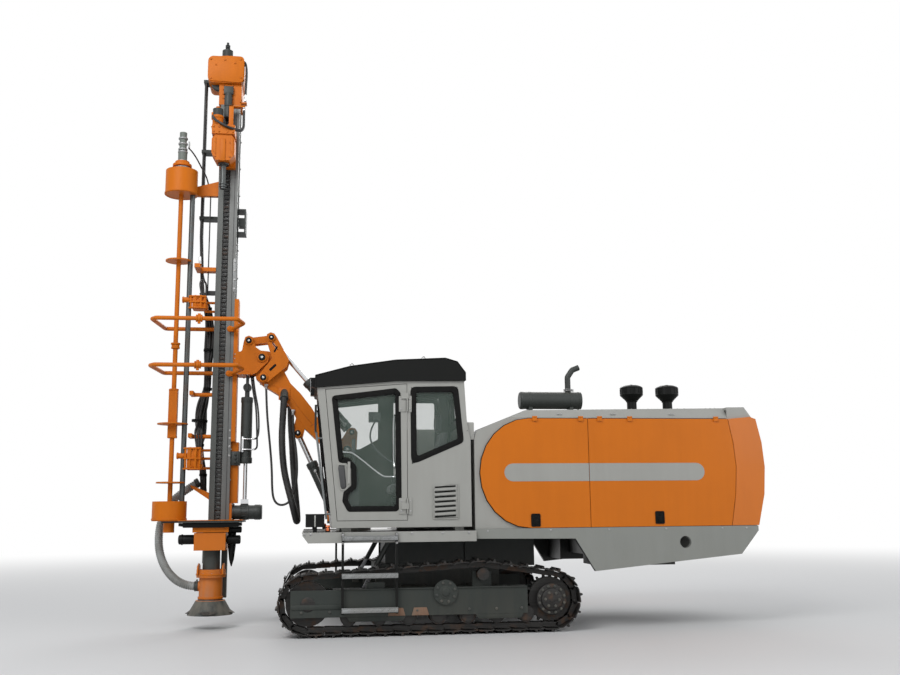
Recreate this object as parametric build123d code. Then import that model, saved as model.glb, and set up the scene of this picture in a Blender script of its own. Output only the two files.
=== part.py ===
"""Crawler drilling rig, mm, +X to the rear, +Y to the machine's right, +Z up, ground at Z 0."""
from build123d import *
import math
import os

os.makedirs("parts", exist_ok=True)

# Driving dimensions
HALF_LEN = 3200.0            # bounding box, half its length
LADDER_OUT = 1270.0          # outermost side face of the ladders
TRACK_IN, TRACK_OUT = 870.0, 1200.0
WHEEL_Z = 310.0              # idler and sprocket axle height
PLATE_R = 285.0              # track plates' outer surface round idler and sprocket
LUG = 25.0                   # grouser height, lug tips at Z 0
BAND = 70.0                  # plate surface to the inside of the track chain
IDLER_X, SPROCKET_X = -1500.0, 885.0
CARRIER_X, CARRIER_TOP = 210.0, 695.0
SHOES = 40
FRAME_IN, FRAME_OUT, FRAME_T = 900.0, 1170.0, 25.0
FRAME_FRONT, FRAME_REAR = -1665.0, 641.0
FRAME_LOW, FRAME_MID, FRAME_TOP = 186.0, 262.0, 440.0
ROLLERS = 7
DECK_Z0, DECK_Z1 = 883.0, 985.0
DECK_FRONT, DECK_REAR = -1564.0, 137.0
SIDE = 1150.0                # orange side panels, outer face
SHELL_Y = 1120.0             # hood shell, outer face
HOOD_X0, HOOD_X1, HOOD_Z0 = 140.0, 2830.0, 1000.0
HOOD_T = 25.0
CAB_Y0, CAB_Y1, CAB_T = -1150.0, -150.0, 40.0
BOOM_Y = 200.0               # boom, feed holder and slide cylinder centre plane
BOOM_W = 85.0                # boom half width
SWING = (-1010.0, 200.0)
P1, P2, P3, P4 = (-2190.0, 3073.0), (-2042.0, 2887.0), (-1941.0, 3106.0), (-2021.0, 2655.0)
PB = (-1040.0, 2056.0)       # tilt cylinder base pin
PF = (-1090.0, 1860.0)       # boom foot pin
PD = (-1210.0, 1150.0)       # lift cylinder base pin
PE = (-1634.0, 2049.0)       # lift rod eye
BEAM_X0, BEAM_X1 = -2575.0, -2358.0
BEAM_Y0, BEAM_Y1 = 100.0, 400.0
BEAM_Z0, BEAM_Z1 = 1105.0, 5850.0
DRILL = (-2513.0, -50.0)     # drill axis
POLE = (-2965.0, -50.0)      # carousel axis
ROD_R, ROD_AT = 28.0, 125.0  # stored drill rod and its distance from the carousel axis
PIN = 0.5                    # radial play at pins


# Helpers
def box(x0, x1, y0, y1, z0, z1):
    return Pos((x0 + x1) / 2, (y0 + y1) / 2, (z0 + z1) / 2) * Box(abs(x1 - x0), abs(y1 - y0), abs(z1 - z0))


def prism(pts, y0, y1):
    """Polygon of (x, z) points, extruded from y0 to y1."""
    pl = Plane((0, max(y0, y1), 0), x_dir=(1, 0, 0), z_dir=(0, -1, 0))
    return extrude(pl * make_face(Polyline(*pts, close=True)), abs(y1 - y0))


def plan(pts, z0, z1):
    """Polygon of (x, y) points, extruded from z0 to z1."""
    return extrude(Plane((0, 0, z0)) * make_face(Polyline(*pts, close=True)), z1 - z0)


def rod(a, b, r):
    """Round bar from a to b."""
    a, b = Vector(*a), Vector(*b)
    return extrude(Plane(a, z_dir=b - a) * Circle(r), (b - a).length)


def disc_y(p, r, y0, y1):
    """Round boss about the Y direction at the (x, z) point p."""
    return rod((p[0], y0, p[1]), (p[0], y1, p[1]), r)


def both(y, lo, hi):
    """The two y bands at distance lo to hi on each side of y."""
    return ((y - hi, y - lo), (y + lo, y + hi))


def fuse(parts):
    out = parts[0]
    for p in parts[1:]:
        out = out + p
    return out


def along(a, b, t):
    """Point at distance t from a towards b, in the XZ plane."""
    d = math.hypot(b[0] - a[0], b[1] - a[1])
    return (a[0] + (b[0] - a[0]) * t / d, a[1] + (b[1] - a[1]) * t / d)


def pipe(pts, radii, r):
    path = FilletPolyline(*pts, radius=radii) if len(pts) > 2 else Line(*pts)
    return sweep(Plane(path @ 0, z_dir=path % 0) * Circle(r), path=path)


def bend_radii(pts):
    """0.45 of the shorter run over the tangent of half the turn, at each inner point."""
    out = []
    for a, b, c in zip(pts, pts[1:], pts[2:]):
        u, v = Vector(*b) - Vector(*a), Vector(*c) - Vector(*b)
        turn = math.radians(u.get_angle(v))
        out.append(0.45 * min(u.length, v.length) / math.tan(turn / 2))
    return out


def save(name, *solids):
    if len(solids) == 1:
        shape = solids[0]
    else:
        kids = []
        for s in solids:
            kids.extend(s.solids())
        shape = Compound(kids)
    shape.label = name
    export_step(shape, f"parts/{name}.step")
    print(name, "solids", len(shape.solids()))


# Tracks
def tangent_angle(cx, sign):
    d = math.hypot(CARRIER_X - cx, CARRIER_TOP - WHEEL_Z)
    a = math.degrees(math.atan2(CARRIER_TOP - WHEEL_Z, CARRIER_X - cx))
    return a + sign * math.degrees(math.acos(PLATE_R / d))


A_REAR = tangent_angle(SPROCKET_X, -1)
A_FRONT = tangent_angle(IDLER_X, 1)


def on_wheel(cx, a, r=PLATE_R):
    return cx + r * math.cos(math.radians(a)), WHEEL_Z + r * math.sin(math.radians(a))


REAR_TOP, FRONT_TOP = on_wheel(SPROCKET_X, A_REAR), on_wheel(IDLER_X, A_FRONT)
LEGS = [
    ("line", (IDLER_X, WHEEL_Z - PLATE_R), (SPROCKET_X, WHEEL_Z - PLATE_R)),
    ("arc", SPROCKET_X, -90.0, A_REAR),
    ("line", REAR_TOP, (CARRIER_X, CARRIER_TOP)),
    ("line", (CARRIER_X, CARRIER_TOP), FRONT_TOP),
    ("arc", IDLER_X, A_FRONT, 270.0),
]


def leg_length(leg):
    if leg[0] == "line":
        return math.hypot(leg[2][0] - leg[1][0], leg[2][1] - leg[1][1])
    return PLATE_R * math.radians(leg[3] - leg[2])


LOOP = sum(leg_length(g) for g in LEGS)


def track_at(s):
    """Point on the plates' outer surface and the outward normal, s along the loop."""
    s %= LOOP
    for leg in LEGS:
        n = leg_length(leg)
        if s <= n:
            break
        s -= n
    if leg[0] == "line":
        (x0, z0), (x1, z1) = leg[1], leg[2]
        tx, tz = (x1 - x0) / n, (z1 - z0) / n
        return (x0 + tx * s, z0 + tz * s), (tz, -tx)
    a = leg[2] + math.degrees(s / PLATE_R)
    return on_wheel(leg[1], a), (math.cos(math.radians(a)), math.sin(math.radians(a)))


def track(side):
    pitch = LOOP / SHOES
    outer = []
    # (distance from the shoe's middle over the pitch, height over the plate)
    profile = [(-0.45, 0.0), (-0.09, 0.0), (-0.07, LUG), (0.07, LUG), (0.09, 0.0), (0.45, 0.0)]
    for i in range(SHOES):
        (x, z), (nx, nz) = track_at((i + 0.5) * pitch)
        for u, v in profile:
            outer.append((x - nz * u * pitch + nx * v, z + nx * u * pitch + nz * v))
        (x, z), (nx, nz) = track_at((i + 1) * pitch)
        outer.append((x - nx * 22, z - nz * 22))
    inner = []
    for i in range(2 * SHOES):
        (x, z), (nx, nz) = track_at(i * pitch / 2)
        inner.append((x - nx * BAND, z - nz * BAND))
    y0, y1 = sorted((side * TRACK_IN, side * TRACK_OUT))
    return prism(outer, y0, y1) - prism(inner, y0 - 1, y1 + 1)


def track_frame(side):
    def b(x0, x1, y0, y1, z0, z1):
        return box(x0, x1, side * y0, side * y1, z0, z1)
    f = b(IDLER_X + 240, FRAME_REAR, FRAME_IN, FRAME_OUT, FRAME_MID, FRAME_TOP)
    f += b(FRAME_FRONT, FRAME_REAR, FRAME_OUT - FRAME_T, FRAME_OUT, FRAME_LOW, FRAME_TOP)
    f += b(FRAME_FRONT, SPROCKET_X + 110, FRAME_IN, FRAME_IN + FRAME_T, FRAME_LOW, FRAME_TOP)
    f += b(CARRIER_X - 95, CARRIER_X + 95, 1000, 1035, FRAME_TOP, 590)
    f += b(-940, -760, 1020, 1120, FRAME_TOP, 500)
    y = side * FRAME_OUT
    f += rod((-173, y, 400), (-173, y + side * 22, 400), 118)
    return f


def track_wheels(side):
    y0, y1 = side * (FRAME_IN + FRAME_T), side * (FRAME_OUT - FRAME_T)
    r_in = PLATE_R - BAND - 3
    solids = []
    for i in range(ROLLERS):
        x = -1110 + 290 * i
        z = WHEEL_Z - PLATE_R + BAND + 80.3
        w = rod((x, y0, z), (x, y1, z), 62)
        w += rod((x, y0 + side * 12, z), (x, y0 + side * 42, z), 80)
        w += rod((x, y1 - side * 42, z), (x, y1 - side * 12, z), 80)
        solids.append(w)
    idler = rod((IDLER_X, y0, WHEEL_Z), (IDLER_X, y1, WHEEL_Z), 60)
    idler += rod((IDLER_X, y0 + side * 50, WHEEL_Z), (IDLER_X, y1 - side * 50, WHEEL_Z), r_in)
    solids.append(idler)
    s = rod((SPROCKET_X, y0, WHEEL_Z), (SPROCKET_X, y1 + side * 20, WHEEL_Z), 110)
    s += rod((SPROCKET_X, y0 + side * 70, WHEEL_Z), (SPROCKET_X, y1 - side * 70, WHEEL_Z), r_in)
    solids.append(s)
    zc = CARRIER_TOP - BAND - 62.5
    c = rod((CARRIER_X, side * 1035, zc), (CARRIER_X, side * 1135, zc), 60)
    solids.append(c)
    return solids


for name, side in (("left", -1), ("right", 1)):
    save("track_" + name, track(side))
save("track_frames", track_frame(-1), track_frame(1))
save("track_wheels", *track_wheels(-1), *track_wheels(1))

# Undercarriage, deck, rear frame
under = box(-800, 500, -420, 420, 300, 640) + box(-700, DECK_REAR, -350, 350, 640, DECK_Z0)
under += box(DECK_REAR + 10, 900, -350, 350, 600, 965)
for side in (-1, 1):
    for x0 in (-560, 140):
        under += box(x0, x0 + 260, side * 420, side * FRAME_IN, 230, 430)
save("undercarriage", under)

lugs = []
for y in (-250, 250):
    lugs.append(prism([(-900, 400), (-900, 480), (-870, 510), (-800, 510), (-800, 370), (-870, 370)],
                      y - 15, y + 15) - rod((-855, y - 30, 440), (-855, y + 30, 440), 25))
save("tie_down_lugs", *lugs)

osc = []
for side in (-1, 1):
    y = side * 838
    c = rod((-950, y, 430), (-800, y, 700), 20) + rod((-830, y, 646), (-705, y, 871), 26)
    c += box(-990, -915, y, side * FRAME_IN, 380, 430) + box(-740, -680, y - 25, y + 25, 860, DECK_Z0)
    osc.append(c)
save("oscillation_cylinders", *osc)

deck = prism([(DECK_FRONT, DECK_Z1), (DECK_FRONT + 10, 950), (DECK_FRONT + 60, 950), (DECK_REAR, 950),
              (DECK_REAR, DECK_Z1)], -1200, 1200)
for y0, y1 in ((-1200, -1130), (1130, 1200), (-350, -280), (280, 350)):
    deck += prism([(DECK_FRONT, 960), (DECK_FRONT + 60, DECK_Z0), (DECK_REAR, DECK_Z0), (DECK_REAR, 960)],
                  y0, y1)
save("deck", deck + rod((*SWING, DECK_Z1), (*SWING, 1045), 190))

rf = box(DECK_REAR, 3090, -1090, 1090, 965, HOOD_Z0)
REAR_SIDE = [(DECK_REAR, 905), (DECK_REAR, HOOD_Z0), (3090, HOOD_Z0), (3090, 950), (2895, 717),
             (1349, 571), (1152, 893)]
for y0, y1 in ((-SIDE, -1090), (1090, SIDE)):
    rf += prism(REAR_SIDE, y0, y1)
rf += prism([(2420, 965), (3040, 965), (2860, 740), (2420, 700)], -1090, 1090)
rf -= rod((2300, -SIDE - 5, 844), (2300, SIDE + 5, 844), 60)
rf += (box(1400, 2200, -1085, -500, 620, 966) + box(1400, 2200, 500, 1085, 620, 966)
       + box(1500, 1900, -500, 500, 700, 966))
save("rear_frame", rf)

ladders = []
for side in (-1, 1):
    y0, y1 = side * 1200, side * 1225
    lad = fuse([box(x - 12, x + 12, y0 + side, y1, 214, 800) + box(x - 12, x + 12, y0, y1, 800,
            975) for x in (-1172, -652)])
    for z in (900, 545, 225):
        lad += box(-1184, -640, y1, side * LADDER_OUT, z, z + 45)
    ladders.append(lad)
save("ladders", *ladders)

# Hood


def yz_prism(pts, x0, x1):
    pl = Plane((x0, 0, 0), x_dir=(0, 1, 0), z_dir=(1, 0, 0))
    return extrude(pl * make_face(Polyline(*pts, close=True)), x1 - x0)


def hood_solid(inset, x1):
    pts = [(HOOD_X0 + inset, HOOD_Z0 - 1 * (inset > 0)), (HOOD_X0 + inset, 1900 - inset / 2),
           (175 + inset, 1982 - inset),
           (692 + inset / 2, 2191 - inset), (x1, 2222 - inset), (x1, HOOD_Z0 - 1 * (inset > 0))]
    y = SHELL_Y - inset
    cross = [(-y, 990), (-y, 2112 - inset / 2), (-y + 90, 2230 - inset), (y - 90, 2230 - inset),
             (y, 2112 - inset / 2), (y, 990)]
    return prism(pts, -SHELL_Y, SHELL_Y) & yz_prism(cross, 0, 3000)


hood = hood_solid(0, HOOD_X1) - hood_solid(HOOD_T, HOOD_X1 + 5)
for y0, y1 in ((-1130, -1080), (1080, 1130)):
    hood -= box(520, 1250, y0, y1, 1100, 2030)
    hood -= box(1390, 2740, y0, y1, 1100, 2030)
save("hood_shell", hood)

DOOR_T, DOOR_Z0, DOOR_Z1 = 29.5, 1004.0, 2098.0
DOOR_MID_X = 1316.0
el = [(701 - 508 * math.sin(math.pi * t / 12), 1551 + 547 * math.cos(math.pi * t / 12)) for t in range(13)]
FRONT_DOOR = el + [(DOOR_MID_X - 3, DOOR_Z0), (DOOR_MID_X - 3, DOOR_Z1)]
REAR_EDGE = [(2820, DOOR_Z1), (2866, 1850), (2885, 1600), (2862, 1320), (2805, DOOR_Z0)]
REAR_DOOR = [(DOOR_MID_X + 3, DOOR_Z0), (DOOR_MID_X + 3, DOOR_Z1)] + REAR_EDGE
HINGE_Y, HINGE_Z = 1158.0, 2112.0
for name, side in (("left", -1), ("right", 1)):
    for where, pts, xs in (("front", FRONT_DOOR, (760, 1240)), ("rear", REAR_DOOR, (1440, 1760, 2690))):
        d = prism(pts, side * (SHELL_Y + 0.5), side * (SHELL_Y + 0.5 + DOOR_T))
        for x in xs:
            d += box(x - 25, x + 25, side * (SIDE - 1), side * (HINGE_Y + 6), HINGE_Z - 40, HINGE_Z)
            d += rod((x - 25, side * HINGE_Y, HINGE_Z), (x + 25, side * HINGE_Y, HINGE_Z), 10)
        save(f"hood_door_{where}_{name}", d)

REAR_OUT = [(HOOD_X1, HOOD_Z0), (HOOD_X1, 2222), (3020, 2225), (3102, 2110), (3155, 1850), (3170, 1600),
            (3150, 1320), (3090, HOOD_Z0)]
cover = prism(REAR_OUT, -SHELL_Y, SHELL_Y)
cover -= prism([(2800, 980), (2800, 2195), (3008, 2197), (3070, 2105), (3125, 1850), (3140, 1600),
                (3120, 1320), (3060, 980)], -SHELL_Y + HOOD_T, SHELL_Y - HOOD_T)
CHEEK = ([(x + 6, z) for x, z in REAR_EDGE[::-1]]
         + [(3070, 2120), (3130, 2098), (3182, 1850), (HALF_LEN, 1600), (3178, 1320), (3100, DOOR_Z0)])
for side in (-1, 1):
    cover += prism(CHEEK, side * SHELL_Y, side * SIDE)
cover -= box(3000, 3210, -700, 700, 1180, 1980)
save("rear_cover", cover)
slats = box(3098, 3118, -700, 700, 1180, 1225) + box(3098, 3118, -700, 700, 1935, 1980)
for y in (-700, -350, -15, 320, 670):
    slats += box(3102, 3114, y, y + 30, 1180, 1980)
for i in range(11):
    slats += box(3096, 3120, -700, 700, 1260 + 60 * i, 1285 + 60 * i)
save("rear_grille", slats)
save("engine_block", box(900, 2300, -330, 330, HOOD_Z0, 1750) + box(2400, 2500, -700, 700, HOOD_Z0,
        1950) + box(2300, 2400, -200, 200, HOOD_Z0, 1500))

muf = rod((800, -300, 2376), (1480, -300, 2376), 95) + rod((791, -300, 2376), (800, -300, 2376), 70)
for x in (900, 1360):
    muf += prism([(x - 20, 2191 + (x - 20 - 692) * 31 / 2138), (x + 20, 2191 + (x + 20 - 692) * 31 / 2138),
                  (x + 20, 2300), (x - 20, 2300)], -370, -230)
muf += pipe([(1340, -300, 2440), (1340, -300, 2640), (1395, -300, 2720), (1470, -300, 2750)], 45, 32)
save("muffler", muf)
caps = []
for x in (2139, 2562):
    top = 2191 + (x - 692) * 31 / 2138
    c = Pos(x, -100, 2405) * Cone(70, 128, 60, align=(Align.CENTER, Align.CENTER, Align.MIN))
    c += rod((x, -100, 2465), (x, -100, 2540), 128)
    c += Pos(x, -100, 2540) * Cone(128, 80, 35, align=(Align.CENTER, Align.CENTER, Align.MIN))
    c += rod((x, -100, top + 1.2), (x, -100, 2405), 55)
    caps.append(c)
save("pre_cleaners", *caps)

# Cab
CAB = [(-1277, 1024), (-1436, 2400), (-650, 2470), (40, 2477), (62, 2081), (98, 1880), (100, 1024)]


def inset(pts, d):
    f = offset(make_face(Polyline(*pts, close=True)), -d)
    return f


def prism_face(face, y0, y1):
    pl = Plane((0, max(y0, y1), 0), x_dir=(1, 0, 0), z_dir=(0, -1, 0))
    return extrude(pl * face, abs(y1 - y0))


def front_x(z):
    return -1277 - (z - 1024) * 159 / 1376


def rear_x(z):
    return 40 + (2477 - z) * 22 / 396


def slab(fx, z0, z1, a, b):
    return [(fx(z0) + a, z0), (fx(z1) + a, z1), (fx(z1) + b, z1), (fx(z0) + b, z0)]


DOOR = [(-1225, 1095), (-1352, 2378), (-545, 2440), (-540, 1095)]
DOOR_GLASS = [(-1285, 2310), (-655, 2390), (-615, 2350), (-605, 1240), (-645, 1187), (-1120, 1187),
              (-1172, 1283),
              (-1160, 1370), (-1085, 1428), (-1088, 1604), (-1140, 1662), (-1212, 1661)]
SIDE_GLASS = [(-500, 2405), (-30, 2415), (22, 1860), (-495, 1640)]
RIGHT_GLASS = [(-1270, 1500), (-1340, 2330), (-700, 2400), (-100, 2400), (-100, 1500)]
WS_Z0, WS_Z1, RW_Z0, RW_Z1 = 1180, 2330, 2120, 2400
cab = prism(CAB, CAB_Y0, CAB_Y1) - prism_face(inset(CAB, CAB_T), CAB_Y0 + CAB_T, CAB_Y1 - CAB_T)
cab -= prism_face(offset(make_face(Polyline(*DOOR, close=True)), 5, kind=Kind.INTERSECTION), CAB_Y0 - 1,
                  CAB_Y0 + CAB_T + 1)
cab -= prism(SIDE_GLASS, CAB_Y0 - 1, CAB_Y0 + CAB_T + 1)
cab -= prism(RIGHT_GLASS, CAB_Y1 - CAB_T - 1, CAB_Y1 + 1)
cab -= prism(slab(front_x, WS_Z0, WS_Z1, -30, 70), -1080, -220)
cab -= prism(slab(rear_x, RW_Z0, RW_Z1, -70, 30), -1000, -300)
for x in (-1180, -60):
    for y in (-1080, -300):
        cab += box(x, x + 90, y, y + 90, DECK_Z1, 1024)
cab += box(-290, -40, CAB_Y0 - 6, CAB_Y0, 1115, 1435)
for i in range(6):
    z = 1135 + 48 * i
    cab += prism([(-275, z), (-55, z + 12), (-55, z + 36), (-275, z + 24)], CAB_Y0 - 14, CAB_Y0 - 6)
save("cab_shell", cab)
save("cab_glass", prism(SIDE_GLASS, -1134, -1126), prism(RIGHT_GLASS, -174, -166),
     prism(slab(front_x, WS_Z0, WS_Z1, 16, 24), -1080, -220),
     prism(slab(rear_x, RW_Z0, RW_Z1, -24, -16), -1000, -300))
door = prism(DOOR, CAB_Y0, CAB_Y0 + CAB_T) - prism(DOOR_GLASS, CAB_Y0 - 1, CAB_Y0 + CAB_T + 1)
HX, HY = -533.0, -1166.0
for z in (1200, 2290):
    door += box(-600, HX - 2, HY - 6, CAB_Y0, z, z + 60) + rod((HX, HY, z), (HX, HY, z + 60), 9)
door += box(-1130, -1105, -1172, CAB_Y0 + 5, 1640, 1665)
door += box(-1130, -1105, -1172, -1158, 1450, 1665)
save("cab_door", door)
save("cab_door_glass", prism(DOOR_GLASS, -1134, -1126))
ROOF = [(-1452, 2398.6), (-1452, 2520), (-1111, 2612), (-655, 2680), (-151, 2705), (-30, 2670), (52, 2560),
        (52, 2477.12), (40, 2477), (-650, 2470), (-1436, 2400)]
save("cab_roof", prism(ROOF, -1168, -132))
eyes = []
for x, top in ((-1090, 2616), (-360, 2694)):
    for y in (-1040, -260):
        e = prism([(x - 45, top - 1), (x - 30, top + 45), (x + 30, top + 48), (x + 45, top + 2)], y - 8,
                  y + 8)
        eyes.append((e - rod((x, y - 20, top + 22), (x, y + 20, top + 22), 14)) - prism(ROOF, -1168, -132))
save("cab_lifting_eyes", *eyes)
seat = box(-620, -250, -860, -440, 1064, 1330) + box(-700, -200, -900, -400, 1330, 1470)
seat += (prism([(-260, 1470), (-170, 1470), (-110, 2000), (-200, 2000)], -880, -420)
         + prism([(-200, 2030), (-196, 1995), (-114, 1995), (-100, 2180), (-170, 2180)], -760, -540))
save("operator_seat", seat)
con = (box(-1120, -1000, -760, -560, 1064, 1500) + box(-1180, -1020, -1000, -420, 1500, 1560)
       + box(-620, -300, -395, -250, 1064, 1560))
con += rod((-1060, -950, 1560), (-1060, -950, 1760), 12) + box(-1080, -1050, -1040, -860, 1760, 1900)
save("cab_console", con)
mir = rod((-1330, -1110, 1110), (-1440, -1110, 1960), 11)
for z in (1160, 1900):
    x = -1330 - (z - 1110) * 110 / 850
    mir += rod((x, -1110, z), (front_x(z) - 1.3, -1110, z), 9)
mir += box(-1458, -1436, -1175, -1045, 1960, 2225)
save("cab_mirror", mir)
lamps = []
for y0, y1 in ((-1160, -1040), (1040, 1160)):
    lamps.append(box(-1530, -1350, y0, y1, 1035, 1158) + box(-1460, -1420, y0 + 30, y1 - 30, DECK_Z1, 1035))
    lamps.append(box(-1340, -1296, y0, y0 + 44, DECK_Z1, 1040))
for y in (-1040, -320):
    lamps.append(box(-1500, -1452, y - 60, y + 60, 2412, 2500))
save("work_lamps", *lamps)
eq = box(-520, 90, 480, 1130, DECK_Z1, 2120)
for i in range(8):
    eq += box(-420, -10, 1130, 1142, 1200 + 90 * i, 1245 + 90 * i)
save("equipment_boxes", eq, box(-560, 60, -110, 420, DECK_Z1, 1420))

# Swing bracket, boom and its cylinders
CHEEKS = both(BOOM_Y, 95, 130)
CHEEK_PTS = [(-1300, 1085), (-860, 1085), (-860, 1300), (-995, 1900), (-1050, 1955), (-1130, 1955),
             (-1190, 1890), (-1200, 1620), (-1300, 1230)]
sw = rod((*SWING, 1045.4), (*SWING, 1085), 180) + box(-990, -870, 105, 295, 1085, 1480)
for y0, y1 in CHEEKS:
    sw += prism(CHEEK_PTS, y0, y1)
    sw += disc_y(PF, 65, y0 - (8 if y0 < BOOM_Y else 0), y1 + (8 if y0 > BOOM_Y else 0))
sw += disc_y(PF, 40, BOOM_Y - 130, BOOM_Y + 130) + disc_y(PD, 25, BOOM_Y - 130, BOOM_Y + 130)
sw += box(-1300, -860, 70, 330, 1060, 1085)
save("swing_bracket", sw)

BOOM = [(-2105, 2655), (-2021, 2575), (-1843, 2467), (-1741, 2367), (-1654, 2221), (-1560, 2100),
        (-1280, 1830), (-1160, 1770),
        (-1020, 1770), (-985, 1860), (-1000, 1910), (-1150, 1985), (-1400, 2190), (-1490, 2335),
        (-1612, 2490), (-1725, 2603),
        (-1830, 2800), (-1965, 2960), (-2042, 2968), (-2118, 2915)]
boom = (prism(BOOM, BOOM_Y - BOOM_W, BOOM_Y + BOOM_W) + disc_y(P2, 35, BOOM_Y - 124, BOOM_Y + 124)
        + disc_y(P4, 35, BOOM_Y - 162, BOOM_Y + 162))
boom += disc_y(P4, 42, BOOM_Y - 128, BOOM_Y + 128)
boom -= disc_y(PF, 40 + PIN, 0, 400)
for y0, y1 in both(BOOM_Y, 45, BOOM_W):
    boom += prism([(-1150, 1984), (-985, 1880), (-975, 2060), (-1000, 2100), (-1040, 2112), (-1082, 2095),
                   (-1120, 2030)], y0, y1)
    boom += prism([(-1654, 2222), (-1692, 2090), (-1690, 2030), (-1634, 1988), (-1580, 2010),
                   (-1560, 2101)], y0, y1)
boom += disc_y(PB, 25, BOOM_Y - 95, BOOM_Y + 95)
for y0, y1 in both(BOOM_Y, BOOM_W, 95):
    boom += disc_y(PE, 30, y0, y1)
save("boom", boom)


def cylinder(base, eye, barrel_len, barrel_r, rod_r, eye_r, half):
    """Barrel with its base eye, and rod with its open eye, about the centre plane."""
    y = BOOM_Y
    b0, b1 = along(base, eye, eye_r + 12), along(base, eye, barrel_len)
    barrel = rod((b0[0], y, b0[1]), (b1[0], y, b1[1]), barrel_r)
    barrel += disc_y(base, eye_r, y - half, y + half)
    n0 = along(base, eye, eye_r * 0.7)
    barrel += rod((n0[0], y, n0[1]), (b0[0], y, b0[1]), half * 0.8)
    c0 = along(base, eye, eye_r + 40)
    barrel -= rod((c0[0], y, c0[1]), (b1[0] + (b1[0] - b0[0]) * 0.01, y, b1[1] + (b1[1] - b0[1]) * 0.01),
                  rod_r + 0.8)
    barrel -= disc_y(base, 25 + PIN, y - 200, y + 200)
    return barrel


def piston(base, eye, start, rod_r, eye_r, half):
    y = BOOM_Y
    a = along(base, eye, start)
    b = along(eye, base, eye_r * 0.6)
    return rod((a[0], y, a[1]), (b[0], y, b[1]), rod_r) + disc_y(eye, eye_r, y - half, y + half)


save("lift_barrel", cylinder(PD, PE, 640, 58, 30, 48, 40))
save("lift_rod", piston(PD, PE, 430, 30, 44, 40))
save("tilt_barrel", cylinder(PB, P3, 770, 58, 28, 48, 40))
save("tilt_rod", piston(PB, P3, 620, 28, 46, 35))

LEVER = [(-2080, 2680), (-2070, 2615), (-2021, 2595), (-1965, 2612), (-1765, 2785), (-1745, 2860),
         (-1880, 3110), (-1910, 3152), (-1950, 3166),
         (-1990, 3145), (-2000, 3100), (-1930, 2870), (-2050, 2715)]
plates = []
for s, (y0, y1) in zip((-1, 1), both(BOOM_Y, 130, 155)):
    p = prism(LEVER, y0, y1)
    p -= disc_y(P4, 35 + PIN, y0 - 5, y1 + 5)
    p -= prism([(-1925, 3060), (-1885, 3010), (-1860, 2960), (-1900, 2990), (-1935, 3040)], y0 - 5, y1 + 5)
    p += disc_y(P3, 28, BOOM_Y + s * 41, BOOM_Y + s * 162)
    plates.append(p)
save("tilt_lever", plates[0], plates[1])

link = None
for s, (y0, y1) in zip((-1, 1), both(BOOM_Y, 45, 70)):
    dx, dz = along(P3, P1, 40)[0] - P3[0], along(P3, P1, 40)[1] - P3[1]
    bar = prism([(P3[0] - dz, P3[1] + dx), (P3[0] + dz, P3[1] - dx), (P1[0] + dz, P1[1] - dx),
                 (P1[0] - dz, P1[1] + dx)], y0, y1)
    bar += disc_y(P3, 48, y0, y1) + disc_y(P1, 48, y0, y1)
    bar -= disc_y(P3, 28 + PIN, y0 - 5, y1 + 5)
    link = bar if link is None else link + bar
mid = along(P3, P1, 150)
link += disc_y(mid, 20, BOOM_Y - 46, BOOM_Y + 46)
save("tilt_link", link)

# Feed holder and slide cylinder
RAIL_X = -2312.0
HOLD_Z0, HOLD_Z1 = 2690.0, 2950.0
hold = box(-2305, -2285, BOOM_Y - 120, BOOM_Y + 120, HOLD_Z0, HOLD_Z1)
hold += box(-2285, -2180, BOOM_Y - 95, BOOM_Y + 95, HOLD_Z0, HOLD_Z0 + 25)
HOLD = [(-2285, HOLD_Z0), (-2285, 2945), (-2262, 2965), (-2246, 3060), (-2230, 3115), (-2190, 3131),
        (-2150, 3115), (-2132, 3060), (-2110, 3000),
        (-2060, 2965), (-2000, 2955), (-1965, 2900), (-1975, 2835), (-2050, 2765), (-2095, 2715),
        (-2150, HOLD_Z0)]
for y0, y1 in both(BOOM_Y, 95, 120):
    hold += prism(HOLD, y0, y1) - disc_y(P2, 35 + PIN, 0, 400)
for y0, y1 in both(BOOM_Y, 120, 126):
    hold += disc_y(P1, 40, y0, y1)
for y0, y1 in both(BOOM_Y, 98.6, 125):
    hold += box(-2335, -2285, y0, y1, HOLD_Z0, HOLD_Z1)
for y0, y1 in both(BOOM_Y, 120, 150):
    hold += box(-2305, -2165, y0, y1, HOLD_Z0, HOLD_Z0 + 18)
save("feed_holder", hold)

SLIDE_X = -2200.0
sb = (rod((SLIDE_X, BOOM_Y, 1720), (SLIDE_X, BOOM_Y, 2450), 62)
      - rod((SLIDE_X, BOOM_Y, 1719), (SLIDE_X, BOOM_Y, 2430), 22.8))
sb += (rod((SLIDE_X, BOOM_Y, 2449), (SLIDE_X, BOOM_Y, 2520), 26)
       + disc_y((SLIDE_X, 2560), 45, BOOM_Y - 42, BOOM_Y + 42))
for y0, y1 in both(BOOM_Y, 42, 56):
    sb += box(SLIDE_X - 14, SLIDE_X + 14, y0, y1, 2530, HOLD_Z0)
save("slide_barrel", sb)
save("slide_rod", rod((SLIDE_X, BOOM_Y, 1300), (SLIDE_X, BOOM_Y, 1890), 22) + box(-2240, -2160, 160, 240,
        1282, 1330))

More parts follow.
